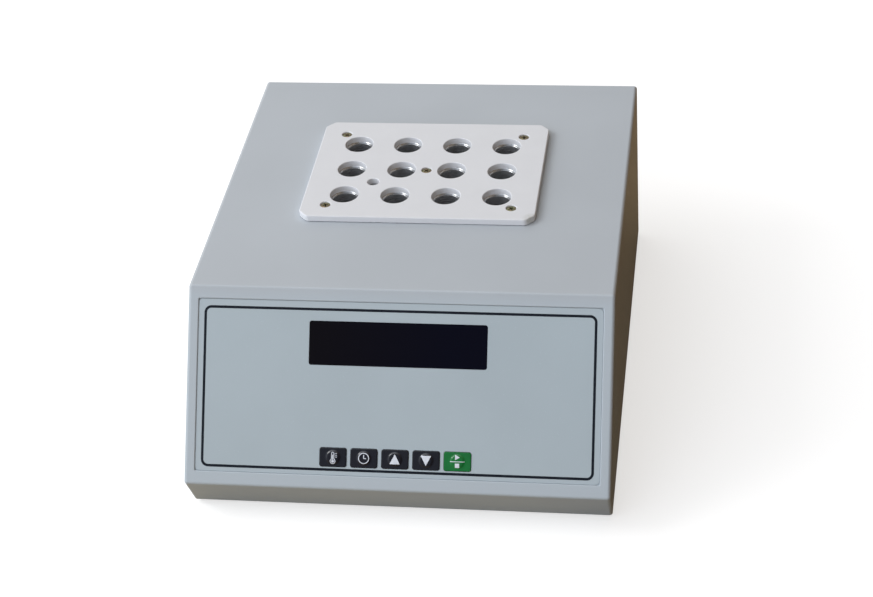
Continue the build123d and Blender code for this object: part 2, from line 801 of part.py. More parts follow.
def heater_clamp():
    """Steel plate that presses the heater against the block."""
    return under_block(0, clamp_bottom, heater_bottom)


def clamp_screws():
    """Screws from below through the clamp and the heater into the block."""
    return group([Pos(x, y, clamp_bottom) * Rot(180, 0, 0) * screw(clamp_screw_length)
                  for x, y in corner_screw_places])


def block_posts():
    """Ceramic posts that carry the block and, on their wide feet, the insulation."""
    shapes = []
    for x, y in post_places:
        post = rod(x, y, floor_z, pad_bottom, post_foot_radius) + rod(x, y, floor_z, clamp_bottom, post_radius)
        shapes.append(post - rod(x, y, 0, top_z, post_screw_radius + screw_clearance))
    return group(shapes)


def post_screws():
    """Long screws from below the base plate, through the posts and into the block."""
    length = block_bottom + post_screw_grip - base_z
    return group([Pos(x, y, base_z) * Rot(180, 0, 0) * screw(length, post_screw_radius, post_screw_head)
                  for x, y in post_places])


def insulation_pad():
    """Mineral wool pad under the heater clamp, with holes for the posts and the screw heads."""
    wide = block_half_x + jacket_gap + jacket_thickness
    deep = block_half_y + jacket_gap + jacket_thickness
    pad = block(-wide, wide, block_y - deep, block_y + deep, pad_bottom, clamp_bottom)
    for x, y in post_places:
        pad -= rod(x, y, pad_bottom - through, clamp_bottom + through, post_radius + jacket_gap)
    for x, y in corner_screw_places:
        pad -= rod(x, y, clamp_bottom - screw_head_height - jacket_gap, clamp_bottom + through,
                   screw_head_radius + jacket_gap)
    return pad


def insulation_jacket():
    """Mineral wool ring round the block, standing on the pad, with holes for the probe and the cut-out."""
    wide = block_half_x + jacket_gap
    deep = block_half_y + jacket_gap
    outer = jacket_thickness
    ring = block(-wide - outer, wide + outer, block_y - deep - outer, block_y + deep + outer,
                 clamp_bottom, top_z - sheet - joint_gap)
    ring -= block(-wide, wide, block_y - deep, block_y + deep, clamp_bottom - through, top_z)
    ring -= rod_y(0, block_y - deep - outer - through, block_y - deep + through, probe_z,
                  probe_tail_radius + joint_gap)
    return ring - rod_x(wide + outer / 2, block_y, probe_z, outer + 2 * through, cutout_radius + joint_gap)


def temperature_probe():
    """Steel sensor rod in the front of the block, with its crimped tail."""
    front = block_y - block_half_y
    tail_start = front - jacket_thickness
    body = rod_y(0, tail_start, front + probe_depth, probe_z, probe_radius)
    return body + rod_y(0, tail_start - probe_tail, tail_start, probe_z, probe_tail_radius)


def thermal_cutout():
    """Bimetal cut-out on the side of the block, with two tabs."""
    body = rod_x(block_half_x + cutout_height / 2, block_y, probe_z, cutout_height, cutout_radius)
    tab_end = block_half_x + cutout_height + cutout_tab
    half = cutout_tab_thickness / 2
    for side in (-1, 1):
        y = block_y + side * cutout_tab_pitch / 2
        body += block(block_half_x + cutout_height / 2, tab_end, y - half, y + half,
                      probe_z - cutout_tab_width / 2, probe_z + cutout_tab_width / 2)
    return body


# ---------------------------------------------------------------- rear fittings
def socket_space():
    """The inlet's socket as a space: a rectangle with its two upper corners cut off, open at the back."""
    half = socket_width / 2
    low = socket_z - socket_height / 2
    high = socket_z + socket_height / 2
    cut = socket_corner
    points = [
        (inlet_x - half, low),
        (inlet_x + half, low),
        (inlet_x + half, high - cut),
        (inlet_x + half - cut, high),
        (inlet_x - half + cut, high),
        (inlet_x - half, high - cut),
    ]
    outline = make_face(Polyline(*[(x, socket_floor, z) for x, z in points], close=True))
    return extrude(outline, socket_depth + through, dir=(0, 1, 0))


def mains_inlet():
    """Mains inlet housing with a flange, a three-pin socket and a slot for the fuse drawer."""
    body = block(inlet_x - inlet_flange_width / 2, inlet_x + inlet_flange_width / 2, rear_y, inlet_face,
                 inlet_z - inlet_flange_height / 2, inlet_z + inlet_flange_height / 2)
    body = fillet(body.edges().filter_by(Axis.Y), inlet_corner)
    body += block(inlet_x - inlet_body_width / 2, inlet_x + inlet_body_width / 2, rear_y - inlet_body_depth,
                  rear_y, inlet_z - inlet_body_height / 2, inlet_z + inlet_body_height / 2)
    body -= socket_space()
    half = drawer_width / 2 + drawer_gap
    high = drawer_height / 2 + drawer_gap
    body -= block(inlet_x - half, inlet_x + half, inlet_face - drawer_depth - drawer_gap, inlet_face + through,
                  drawer_z - high, drawer_z + high)
    for x, z in inlet_screw_places:
        body -= rod_y(x, rear_y - through, inlet_face + through, z, screw_radius + screw_clearance)
    for x, z in pin_places:
        body -= block_at(x, socket_floor, pin_thickness + 2 * pin_gap, 2 * inlet_body_depth,
                         z - pin_width / 2 - pin_gap, z + pin_width / 2 + pin_gap)
    return body


def inlet_pins():
    """Three flat pins of the inlet, with their tails behind."""
    tail = rear_y - inlet_body_depth - pin_tail
    tip = socket_floor + pin_length
    half = pin_thickness / 2
    return group([block(x - half, x + half, tail, tip, z - pin_width / 2, z + pin_width / 2)
                  for x, z in pin_places])


def inlet_screws():
    """Screws through the inlet's flange, with their nuts behind the panel."""
    length = inlet_flange + sheet + nut_height + screw_spare / 2
    shapes = []
    for x, z in inlet_screw_places:
        shapes.append(Pos(x, inlet_face, z) * Rot(-90, 0, 0) * screw(length, head_height=inlet_screw_head))
        nut = Pos(x, panel_inner_y, z) * Rot(90, 0, 0) * extrude(RegularPolygon(nut_radius, 6), nut_height)
        shapes.append(nut - rod_y(x, rear_y - 2 * through, rear_y, z, screw_radius + thread_clearance))
    return group(shapes)


def fuse_drawer():
    """Drawer under the socket with two compartments for fuses and a grip notch."""
    half = drawer_width / 2
    high = drawer_height / 2
    tray = block(inlet_x - half, inlet_x + half, inlet_face - drawer_depth, inlet_face + drawer_proud,
                 drawer_z - high, drawer_z + high)
    room = fuse_radius + fuse_gap
    back = inlet_face - drawer_front
    for side in (-1, 1):
        x = inlet_x + side * fuse_pitch / 2
        tray -= block(x - room, x + room, back - fuse_length - 2 * fuse_gap, back, drawer_z - room,
                      drawer_z + high + through)
    return tray - block(inlet_x - grip_width / 2, inlet_x + grip_width / 2, inlet_face - drawer_front / 2,
                        inlet_face + through, drawer_z + high - grip_depth, drawer_z + high + through)


def fuses():
    """Two glass fuses with metal caps, in use and spare, side by side in the drawer."""
    y1 = inlet_face - drawer_front - fuse_gap
    y0 = y1 - fuse_length
    shapes = []
    for side in (-1, 1):
        x = inlet_x + side * fuse_pitch / 2
        body = rod_y(x, y0, y1, drawer_z, fuse_glass_radius)
        body += rod_y(x, y0, y0 + fuse_cap, drawer_z, fuse_radius)
        shapes.append(body + rod_y(x, y1 - fuse_cap, y1, drawer_z, fuse_radius))
    return group(shapes)


def power_switch():
    """Rocker switch housing, snapped into the rear panel, with the rocker's pin and three tabs."""
    body = block(switch_x - bezel_width / 2, switch_x + bezel_width / 2, rear_y, switch_face,
                 switch_z - bezel_height / 2, switch_z + bezel_height / 2)
    body = fillet(body.edges().filter_by(Axis.Y), bezel_corner)
    half = bezel_width / 2 - bezel_lap - joint_gap
    high = bezel_height / 2 - bezel_lap - joint_gap
    inner = rear_y - switch_body_depth
    body += block(switch_x - half, switch_x + half, inner, rear_y, switch_z - high, switch_z + high)
    well_half = rocker_width / 2 + rocker_gap
    well_high = rocker_sweep + rocker_gap
    well_floor = rocker_pin_y - rocker_base - 2 * joint_gap - rocker_height / 2 * sin(radians(rocker_tilt))
    body -= block(switch_x - well_half, switch_x + well_half, well_floor, switch_face + through,
                  switch_z - well_high, switch_z + well_high)
    body += rod_x(switch_x, rocker_pin_y, switch_z, 2 * half - joint_gap, rocker_pin_radius)
    for step in (-1, 0, 1):
        z = switch_z + step * switch_tab_pitch
        body += block(switch_x - switch_tab_width / 2, switch_x + switch_tab_width / 2, inner - switch_tab,
                      inner + sheet, z - switch_tab_thickness / 2, z + switch_tab_thickness / 2)
    return body


def switch_rocker():
    """The rocker on its pin, at rest with its lower end pressed in."""
    half = rocker_height / 2
    waist = half - rocker_waist
    points = [
        (rocker_end, -half),
        (rocker_end - rocker_dip, 0),
        (rocker_end, half),
        (rocker_pin_radius, waist),
        (-rocker_base, rocker_neck),
        (-rocker_base, -rocker_neck),
        (rocker_pin_radius, -waist),
    ]
    body = extrude(Plane.YZ * make_face(Polyline(*points, close=True)), rocker_width / 2, both=True)
    body -= rod_x(0, 0, 0, 2 * rocker_width, rocker_pin_radius + rocker_pin_clearance)
    return Pos(switch_x, rocker_pin_y, switch_z) * Rot(-rocker_tilt, 0, 0) * body


# ---------------------------------------------------------------- electronics on the base
def power_board():
    """Power board on four short posts."""
    low = floor_z + power_board_lift
    board = tablet(power_board_width, power_board_depth, board_corner, low, power_board_z,
                   power_board_x, power_board_y)
    for x, y in power_board_holes:
        board -= rod(x, y, low - through, low + through, screw_radius + screw_clearance)
    return board


def power_board_posts():
    """Threaded posts under the power board."""
    top = floor_z + power_board_lift
    return group([rod(x, y, floor_z, top, spacer_radius) - rod(x, y, floor_z + sheet, top + through,
                                                              screw_radius + thread_clearance)
                  for x, y in power_board_holes])


def power_board_screws():
    """Screws on top of the power board, into its posts."""
    length = board_thickness + power_board_lift / 2
    return group([Pos(x, y, power_board_z) * screw(length) for x, y in power_board_holes])


def transformer_core():
    """Laminated core of the transformer, standing on the power board."""
    core = block_at(core_x, power_board_y, core_width, core_depth, power_board_z, power_board_z + core_height)
    for side in (-1, 1):
        x = core_x + side * (core_leg + core_window) / 2
        core -= block_at(x, power_board_y, core_window, core_depth + 2 * through, power_board_z + core_yoke,
                         power_board_z + core_height - core_yoke)
    return core


def transformer_coil():
    """Coil on the transformer's middle leg."""
    low = power_board_z + core_yoke + joint_gap
    high = power_board_z + core_height - core_yoke - joint_gap
    width = core_leg + 2 * core_window - 2 * joint_gap
    coil = tablet(width, core_depth + 2 * coil_wall, coil_corner, low, high, core_x, power_board_y)
    return coil - block_at(core_x, power_board_y, core_leg + 2 * joint_gap, core_depth + 2 * joint_gap,
                           low - through, high + through)


def power_parts():
    """Terminal block, relay and capacitor on the power board."""
    low = power_board_z
    terminal_x = power_board_x + power_board_width / 2 - terminal_inset - terminal_width / 2
    terminals = block_at(terminal_x, power_board_y, terminal_width, terminal_length,
                         low, low + terminal_height)
    for index in range(terminal_count):
        y = power_board_y + (index - (terminal_count - 1) / 2) * terminal_pitch
        terminals -= rod(terminal_x, y, low + terminal_height / 2, low + terminal_height + through,
                         terminal_hole)
    part_x = terminal_x - terminal_width / 2 - part_gap - relay_width / 2
    relay_y = power_board_y + (part_gap + relay_length) / 2
    relay = block_at(part_x, relay_y, relay_width, relay_length, low, low + relay_height)
    capacitor = rod(part_x, power_board_y - capacitor_radius - part_gap / 2, low, low + capacitor_height,
                    capacitor_radius)
    return group([terminals, relay, capacitor])


def heat_sink():
    """Heat sink: a foot on the base plate, an upright plate and fins between them."""
    front = sink_y - sink_depth / 2
    back = sink_y + sink_depth / 2
    left = sink_x - sink_width / 2
    right = sink_x + sink_width / 2
    sink = block(left, right, front, back, floor_z, floor_z + sink_plate)
    sink += block(left, right, back - sink_plate, back, floor_z, floor_z + sink_height)
    for index in range(sink_fin_count):
        x = left + sink_fin / 2 + index * sink_fin_pitch
        sink += block(x - sink_fin / 2, x + sink_fin / 2, front, back, floor_z, floor_z + sink_height)
    for x, y in sink_holes:
        sink -= rod(x, y, 0, floor_z + sink_plate + through, screw_radius + screw_clearance)
    return sink


def sink_screws():
    """Screws that hold the heat sink's foot to the base plate."""
    return group([Pos(x, y, floor_z + sink_plate) * screw(sink_plate + sheet) for x, y in sink_holes])


def power_control():
    """Power semiconductor on the back of the heat sink's upright plate."""
    back = sink_y + sink_depth / 2
    high = floor_z + sink_height - sink_plate
    return block(sink_x - triac_width / 2, sink_x + triac_width / 2, back, back + triac_thickness,
                 high - triac_height, high)


# ---------------------------------------------------------------- nodes
nodes = {
    "case_cover": case_cover(),
    "base_plate": base_plate(),
    "rear_panel": rear_panel(),
    "feet": feet(),
    "base_screws": base_screws(),
    "rear_screws": rear_screws(),
    "keypad_overlay": keypad_overlay(),
    "display_window": display_window(),
    "display_module": display_module(),
    "key_switches": key_switches(),
    "control_board": control_board(),
    "control_parts": control_parts(),
    "board_spacers": board_spacers(),
    "board_screws": board_screws(),
    "top_plate": top_plate(),
    "plate_gasket": plate_gasket(),
    "plate_screws": plate_screws(),
    "bore_liners": bore_liners(),
    "heating_block": heating_block(),
    "heater": heater(),
    "heater_clamp": heater_clamp(),
    "clamp_screws": clamp_screws(),
    "block_posts": block_posts(),
    "post_screws": post_screws(),
    "insulation_pad": insulation_pad(),
    "insulation_jacket": insulation_jacket(),
    "temperature_probe": temperature_probe(),
    "thermal_cutout": thermal_cutout(),
    "mains_inlet": mains_inlet(),
    "inlet_pins": inlet_pins(),
    "inlet_screws": inlet_screws(),
    "fuse_drawer": fuse_drawer(),
    "fuses": fuses(),
    "power_switch": power_switch(),
    "switch_rocker": switch_rocker(),
    "power_board": power_board(),
    "power_board_posts": power_board_posts(),
    "power_board_screws": power_board_screws(),
    "transformer_core": transformer_core(),
    "transformer_coil": transformer_coil(),
    "power_parts": power_parts(),
    "heat_sink": heat_sink(),
    "sink_screws": sink_screws(),
    "power_control": power_control(),
}
for name, x in zip(key_names, key_row):
    nodes[name] = key(x)

os.makedirs("parts", exist_ok=True)
for node, shape in nodes.items():
    export_step(shape, f"parts/{node}.step")
    size = shape.bounding_box().size
    print(f"{node}: {len(shape.solids())} solids, {size.X:.1f} x {size.Y:.1f} x {size.Z:.1f}")
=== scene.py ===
"""Looks of a bench reactor for sealed test vials: low painted case, sloped keypad panel, white plate with vial bores.

Outlines are drawn in millimetres about a place of their own, and upright, on_panel or on_rocker sends them to metres in
the CAD frame. Finishes take their patterns from object coordinates, in metres.
"""
import json

import bmesh
import bpy
import numpy as np
from mathutils import Matrix, Vector
from mathutils.geometry import tessellate_polygon

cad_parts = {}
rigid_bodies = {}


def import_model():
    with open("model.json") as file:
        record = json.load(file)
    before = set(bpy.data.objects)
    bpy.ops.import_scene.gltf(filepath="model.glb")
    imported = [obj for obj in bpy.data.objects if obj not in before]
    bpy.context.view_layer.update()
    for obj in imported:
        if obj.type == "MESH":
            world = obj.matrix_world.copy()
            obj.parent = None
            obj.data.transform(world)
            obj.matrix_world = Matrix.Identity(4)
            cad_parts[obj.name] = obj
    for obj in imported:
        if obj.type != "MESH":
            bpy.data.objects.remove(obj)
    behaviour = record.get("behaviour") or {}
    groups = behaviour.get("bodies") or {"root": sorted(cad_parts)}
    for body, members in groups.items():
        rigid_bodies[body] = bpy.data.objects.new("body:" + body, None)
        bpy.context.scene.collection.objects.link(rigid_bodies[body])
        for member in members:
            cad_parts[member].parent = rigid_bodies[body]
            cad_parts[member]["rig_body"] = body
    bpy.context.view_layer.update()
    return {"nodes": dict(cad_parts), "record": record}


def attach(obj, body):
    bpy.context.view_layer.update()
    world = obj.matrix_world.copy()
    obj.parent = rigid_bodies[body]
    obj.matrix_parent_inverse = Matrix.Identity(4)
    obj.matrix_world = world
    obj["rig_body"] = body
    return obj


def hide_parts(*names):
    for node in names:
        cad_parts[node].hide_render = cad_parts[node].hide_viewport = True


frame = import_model()
mm = 0.001

# ---- sizes in millimetres
# Case: half width, wall and outside radius of the bends; its heights, its ends and its flanges' width.
case_half, sheet, bend = 130.0, 1.5, 2.1
base_z, top_z, rear_y = 3.0, 124.5, 153.2265
crease_y, nose = -84.7735, (-157.7735, 28.0)          # the top's front edge and the front's lowest edge
lip_back_y, flange = -144.7735, 12.0
block_y, opening_half, opening_corner = 38.7265, (70.0, 51.0), 4.0    # the opening in the top, over the block

# Front panel: lengths down its slope start at the crease, heights at its own plane.
recess_top, recess_end, recess_depth, recess_corner = 8.0, 112.901, 1.2, 0.8
recess_half, recess_middle = (123.4, (recess_end - recess_top) / 2), (recess_top + recess_end) / 2
window_low, window_high, window_ledge = 19.8, 46.6, 2.5
window_half, window_middle = (54.4, (window_high - window_low) / 2), (window_low + window_high) / 2
outline_half, outline_middle = (119.0, 48.3), 61.2    # the line printed round the keypad
overlay_face = -0.62
key_half, key_corner, key_slope = (8.2, 5.7), 1.3, 101.901
key_opening_corner = 1.6
key_places = {"key_temperature": -37.9, "key_time": -18.95, "key_up": 0.0, "key_down": 18.95, "key_start": 37.9}
key_base = -0.1  # height of a key's flat film; its dome stands on it

# White plate: its half sizes, the 45-degree cut of its corners and how softly the cut is rounded.
plate_y, plate_low, plate_high = 39.7265, 125.0, 129.0
plate_half, plate_clip, plate_soft = (75.3, 55.4), 5.5, 4.0
bore_places = [(x, y) for y in (68.1265, 38.7265, 9.3265) for x in (-49.2, -16.4, 16.4, 49.2)]
well_place = (-32.8, 24.0265)
plate_screw_places = [(side * 59.5, block_y + end * 41.3) for side in (-1, 1) for end in (-1, 1)] + [(0.0, block_y)]
round_steps, small_steps, line_steps = 72, 40, 33     # points round a bore, round a smaller hole, along a line

# Plate screws: radius of their holes and of their heads, and the heights at which their cones begin and end.
screw_hole, screw_head, screw_neck, screw_rim = 2.05, 3.2, 126.8, 128.1

rocker_pin, rocker_tilt = (34.0, 150.2265, 44.0), np.radians(8.0)

# Front panel's directions: its upper edge in metres, the way down its slope and the way out of it.
crease = np.array([0.0, crease_y, top_z]) * mm
down = np.array([0.0, -0.6033006, -0.7975139])
outward = np.array([0.0, -0.7975139, 0.6033006])


# ---- outlines
def arc(radius, turn):
    """Points of a circle at those angles: radius times the cosine and the sine."""
    return np.stack([radius * np.cos(turn), radius * np.sin(turn)], -1)


def circle(radius, steps=round_steps):
    """Points round a circle, at even angles."""
    return arc(radius, np.linspace(0, 2 * np.pi, steps, endpoint=False))


def quarter(size, steps):
    """Shifts (aside, down) that carry an edge round a quarter circle: size * (1 - cos a) and size * (1 - sin a)."""
    turn = np.linspace(0, np.pi / 2, steps)
    return size * np.stack([1 - np.cos(turn), 1 - np.sin(turn)], -1)


def oblong(x0, x1, y0, y1):
    """The four corners of a rectangle."""
    return np.array([(x0, y0), (x1, y0), (x1, y1), (x0, y1)])


def rounded(half, corner_radius, steps=10, margin=0.0):
    """Points round a rectangle of those half sizes and a margin: a quarter circle about each corner's own middle."""
    turn = (np.arange(4)[:, None] * np.pi / 2 + np.linspace(0, np.pi / 2, steps)).ravel()
    sides = np.repeat([(1, 1), (-1, 1), (-1, -1), (1, -1)], steps, axis=0)
    return sides * (np.array(half) + margin - corner_radius) + arc(corner_radius, turn)


def clipped(half, clip, soft, inset=0.0):
    """Points round a rectangle whose corners are cut at 45 degrees, moved inwards by the inset.

    Each of the eight bends is an arc through 45 degrees about its own fixed middle, of the soft radius less the inset.
    """
    steps, cut = 6, clip + (np.sqrt(2) - 1) * soft
    turn = ((np.arange(8)[:, None] + np.linspace(0, 1, steps)) * np.pi / 4).ravel()
    sides = np.repeat([(1, 1), (1, 1), (-1, 1), (-1, 1), (-1, -1), (-1, -1), (1, -1), (1, -1)], steps, axis=0)
    by_side = np.repeat([True, False, False, True, True, False, False, True], steps)[:, None]
    return sides * (np.array(half) - np.where(by_side, (soft, cut), (cut, soft))) + arc(soft - inset, turn)


def line(x0, y0, x1, y1):
    """Points along a straight line."""
    return np.linspace((x0, y0), (x1, y1), line_steps)


def inside(distance, softness):
    """1 before an edge and 0 past it, by a smooth S-shaped step: 1 / (1 + exp(distance / softness))."""
    return 1 / (1 + np.exp(distance / softness))


def at_height(outline, height):
    """A flat outline as points in space, all at one height or at a height each."""
    return np.column_stack([outline, np.broadcast_to(height, len(outline))])


def turned(profile, steps=round_steps):
    """Rings about an upright axis, one for each (radius, height) of a profile."""
    return [at_height(circle(radius, steps), height) for radius, height in profile]


# ---- shapes: points and faces
def quads(rows, columns, round_rows=False, round_columns=False):
    """Faces of a grid of points: (r, c) joined to (r + 1, c + 1), and the last row or column to the first if round."""
    r, c = np.meshgrid(np.arange(rows if round_rows else rows - 1),
                       np.arange(columns if round_columns else columns - 1), indexing="ij")
    r1, c1 = (r + 1) % rows, (c + 1) % columns
    return np.stack([r * columns + c, r * columns + c1, r1 * columns + c1, r1 * columns + c], -1).reshape(-1, 4)


def stacked(rings):
    """A closed body: rings of equal count one after another, with the first and last drawn to their middle points."""
    grid = np.stack(rings)
    count, steps = grid.shape[:2]
    points = np.concatenate([grid.reshape(-1, 3), grid[0].mean(0)[None], grid[-1].mean(0)[None]])
    here, after = np.arange(steps), (np.arange(steps) + 1) % steps
    last_ring = (count - 1) * steps
    first = np.stack([np.full(steps, count * steps), after, here], -1)
    last = np.stack([np.full(steps, count * steps + 1), here + last_ring, after + last_ring], -1)
    return points, quads(count, steps, round_columns=True).tolist() + first.tolist() + last.tolist()


def looped(rings):
    """A closed ring of material: rings of equal count one after another, the last joined to the first."""
    grid = np.stack(rings)
    return grid.reshape(-1, 3), quads(*grid.shape[:2], round_rows=True, round_columns=True).tolist()


def sleeve(rings):
    """An open band: rings of equal count one after another."""
    grid = np.stack(rings)
    return grid.reshape(-1, 3), quads(*grid.shape[:2], round_columns=True).tolist()


def sheet_between(loops, height):
    """A flat face at one height inside the first loop and outside the others, cut into triangles."""
    triangles = tessellate_polygon([[(x, y, 0.0) for x, y in loop] for loop in loops])
    return at_height(np.concatenate(loops), height), [list(t) for t in triangles]


# ---- places
def moved(shape, place):
    """A shape (points, faces) with its points sent through a placing function."""
    return place(shape[0]), shape[1]


def upright(x=0.0, y=0.0):
    """Places a shape drawn in millimetres about a point of the bench."""
    return lambda p: (p + np.array([x, y, 0.0])) * mm


def on_panel(x=0.0, slope=0.0):
    """Places a shape on the front panel: x to the right, y up the slope from a length down it, z out of the panel."""
    def place(p):
        return (crease + (x + p[:, :1]) * mm * np.array([1.0, 0.0, 0.0]) + (slope - p[:, 1:2]) * mm * down
                + p[:, 2:3] * mm * outward)
    return place


def panel_sheet(loops, height):
    """A flat sheet parallel to the panel: first loop outside, the others cut out; x across, y down the slope."""
    flat, faces = sheet_between(loops, height)
    return on_panel()(flat * [1, -1, 1]), faces


def panel_wall(loops, heights):
    """A wall square to the panel: loops one after another, each at its height; x across, y down the slope."""
    return moved(sleeve([at_height(loop * [1, -1], z) for loop, z in zip(loops, heights)]), on_panel())


def panel_openings(ledge, window_corner, key_gap, steps):
    """Openings in a sheet of the panel: the display's, smaller by a ledge, and each key's, wider by a gap."""
    window = rounded(window_half, window_corner, steps, -ledge) + [0, window_middle]
    key = rounded(key_half, key_opening_corner, steps, key_gap)
    return [window] + [key + [x, key_slope] for x in key_places.values()]


# ---- pieces
usual_crease = 38.0  # degrees from which an edge is shaded sharp


def linked(name, data):
    """An object of that data, linked to the scene."""
    made = bpy.data.objects.new(name, data)
    bpy.context.scene.collection.objects.link(made)
    return made


def piece(name, shapes, finish, body="housing", stands_for=(), crease_angle=usual_crease):
    """One object from (points, faces) shapes in metres: joined, doubles merged, faces outwards, then dressed."""
    starts = np.cumsum([0] + [len(points) for points, _ in shapes])
    faces = [[int(i) + int(start) for i in face] for start, (_, own) in zip(starts, shapes) for face in own]
    mesh = bpy.data.meshes.new(name)
    mesh.from_pydata(np.concatenate([points for points, _ in shapes]).tolist(), [], faces)
    work = bmesh.new()
    work.from_mesh(mesh)
    bmesh.ops.remove_doubles(work, verts=work.verts, dist=2e-6)
    bmesh.ops.dissolve_degenerate(work, edges=work.edges, dist=1e-6)
    bmesh.ops.recalc_face_normals(work, faces=work.faces)
    work.to_mesh(mesh)
    work.free()
    dressed(name, mesh, finish, body, stands_for, crease_angle)


def smoothed(node):
    """A CAD node's own shape with its doubles merged and its flats joined, so that its round walls shade smoothly."""
    mesh = frame["nodes"][node].data.copy()
    work = bmesh.new()
    work.from_mesh(mesh)
    bmesh.ops.remove_doubles(work, verts=work.verts, dist=1e-6)
    bmesh.ops.dissolve_limit(work, angle_limit=np.radians(0.3), verts=work.verts, edges=work.edges)
    work.to_mesh(mesh)
    work.free()
    dressed(node + "_smooth", mesh, slot_of[node], body_of(node), (node,), usual_crease)


def dressed(name, mesh, finish, body, stands_for, crease_angle):
    """Links a mesh as a piece: its shading, its finish, the body it rides on and the CAD nodes it stands for."""
    mesh.shade_smooth()
    mesh.set_sharp_from_angle(angle=np.radians(crease_angle))
    mesh.materials.clear()
    mesh.materials.append(finishes[finish])
    made = linked(name, mesh)
    evened = made.modifiers.new("evened", "WEIGHTED_NORMAL")
    evened.keep_sharp = True
    evened.mode = "FACE_AREA"
    evened.weight = 90
    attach(made, body)
    if stands_for:
        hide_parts(*stands_for)


def body_of(node):
    """The body that a CAD node rides on."""
    return frame["nodes"][node]["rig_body"]


# ---- finishes
finishes = {}


class Nodes:
    """A shader tree in the making. Inputs are values or other nodes' outputs."""

    def __init__(self, tree):
        self.tree = tree

    def add(self, kind, links=(), **settings):
        """A node with its settings and its inputs."""
        node = self.tree.nodes.new(kind)
        for key, value in settings.items():
            setattr(node, key, value)
        for socket, value in dict(links).items():
            if isinstance(value, bpy.types.NodeSocket):
                self.tree.links.new(value, node.inputs[socket])
            else:
                node.inputs[socket].default_value = value
        return node

    def axes(self, vector):
        """X, Y and Z of a vector."""
        return self.add("ShaderNodeSeparateXYZ", {"Vector": vector}).outputs

    def between(self, value, from_low, from_high, low, high, **settings):
        """A value spread from one range to another and held inside it."""
        return self.add("ShaderNodeMapRange", {"Value": value, "From Min": from_low, "From Max": from_high,
                                               "To Min": low, "To Max": high}, **settings).outputs[0]

    def maths(self, operation, a, b=0.0):
        """Two numbers worked into one."""
        return self.add("ShaderNodeMath", {0: a, 1: b}, operation=operation).outputs[0]

    def mix(self, factor, low, high):
        """From one colour to another by a factor."""
        links = {0: factor}
        for index, value in ((6, low), (7, high)):
            links[index] = value if isinstance(value, bpy.types.NodeSocket) else (*value[:3], 1.0)
        return self.add("ShaderNodeMix", links, data_type="RGBA").outputs[2]


class Finish(Nodes):
    """A finish in the making: a principled surface whose colour, roughness and relief come from object coordinates."""

    def __init__(self, name, **plain):
        self.material = finishes[name] = bpy.data.materials.new(name)
        self.material.use_nodes = True
        super().__init__(self.material.node_tree)
        self.surface = self.tree.nodes["Principled BSDF"]
        for socket, value in plain.items():
            self.surface.inputs[socket.replace("_", " ")].default_value = value
        self.place = self.add("ShaderNodeTexCoord").outputs["Object"]

    def stretched(self, sizes):
        """Object coordinates divided by a size along each axis, so that a pattern of unit size gets that grain."""
        return self.add("ShaderNodeMapping", {"Vector": self.place, "Scale": [1 / s for s in sizes]}).outputs[0]

    def noise(self, size, detail, rough=0.5):
        """Cloudy pattern with features of about that size in metres, or of a size along each axis."""
        vector, scale = (self.stretched(size), 1.0) if isinstance(size, tuple) else (self.place, 1 / size)
        return self.add("ShaderNodeTexNoise", {"Vector": vector, "Scale": scale, "Detail": detail,
                                               "Roughness": rough}).outputs["Fac"]

    def specks(self, size, share):
        """1 in small scattered dots, 0 elsewhere: the near points of a cell pattern."""
        cells = self.add("ShaderNodeTexVoronoi", {"Vector": self.place, "Scale": 1 / size}).outputs["Distance"]
        return self.between(cells, share, share * 0.6, 0.0, 1.0)

    def tinted(self, pattern, colour, dark, light, spread=0.15):
        """A colour made darker and lighter by a pattern, over a spread to both sides of the pattern's middle."""
        return self.mix(self.between(pattern, 0.5 - spread, 0.5 + spread, 0, 1), shade(colour, dark),
                        shade(colour, light))

    def colour(self, value):
        """Gives the surface its colour."""
        self.tree.links.new(value, self.surface.inputs["Base Color"])

    def roughness(self, pattern, low, high):
        """Gives the surface its roughness, from low to high over the middle of a pattern."""
        self.tree.links.new(self.between(pattern, 0.3, 0.7, low, high), self.surface.inputs["Roughness"])

    def relief(self, height, depth, strength=1.0, over=None):
        """Relief of that depth in metres from a height pattern, over an earlier relief if one is given."""
        links = {"Height": height, "Distance": depth, "Strength": strength}
        if over:
            links["Normal"] = over
        bump = self.add("ShaderNodeBump", links).outputs[0]
        self.tree.links.new(bump, self.surface.inputs["Normal"])
        return bump


def shade(colour, factor):
    """A colour made darker or lighter."""
    return tuple(min(1.0, c * factor) for c in colour)


def powder_coat(name, colour, peel=0.0012, low=0.34, high=0.46, front=None):
    """Baked powder paint: orange-peel waves about a millimetre long, finer grain on them and slow cloudy shade.

    In front of the crease it takes a cooler colour, where one is given: painted light for the bluer light on the front
    face.
    """
    paint = Finish(name, Specular_IOR_Level=0.42)
    wave_depth = 0.000012
    cloud, fine = paint.noise(0.09, 3), paint.noise(0.0004, 2)
    base = paint.tinted(cloud, colour, 0.975, 1.02)
    # Painted light: in front of the crease the colour turns to the cooler front colour, as bluer light on the front
    # face would make it.
    if front:
        before = paint.between(paint.axes(paint.place)["Y"], crease[1] - 0.004, crease[1] + 0.001, 1, 0)
        base = paint.mix(before, base, front)
    paint.colour(paint.mix(paint.between(fine, 0.45, 0.7, 0, 0.10), base, shade(colour, 0.82)))
    paint.roughness(cloud, low, high)
    waves = paint.relief(paint.noise(peel, 1.5), wave_depth)
    paint.relief(fine, wave_depth * 0.25, over=waves)


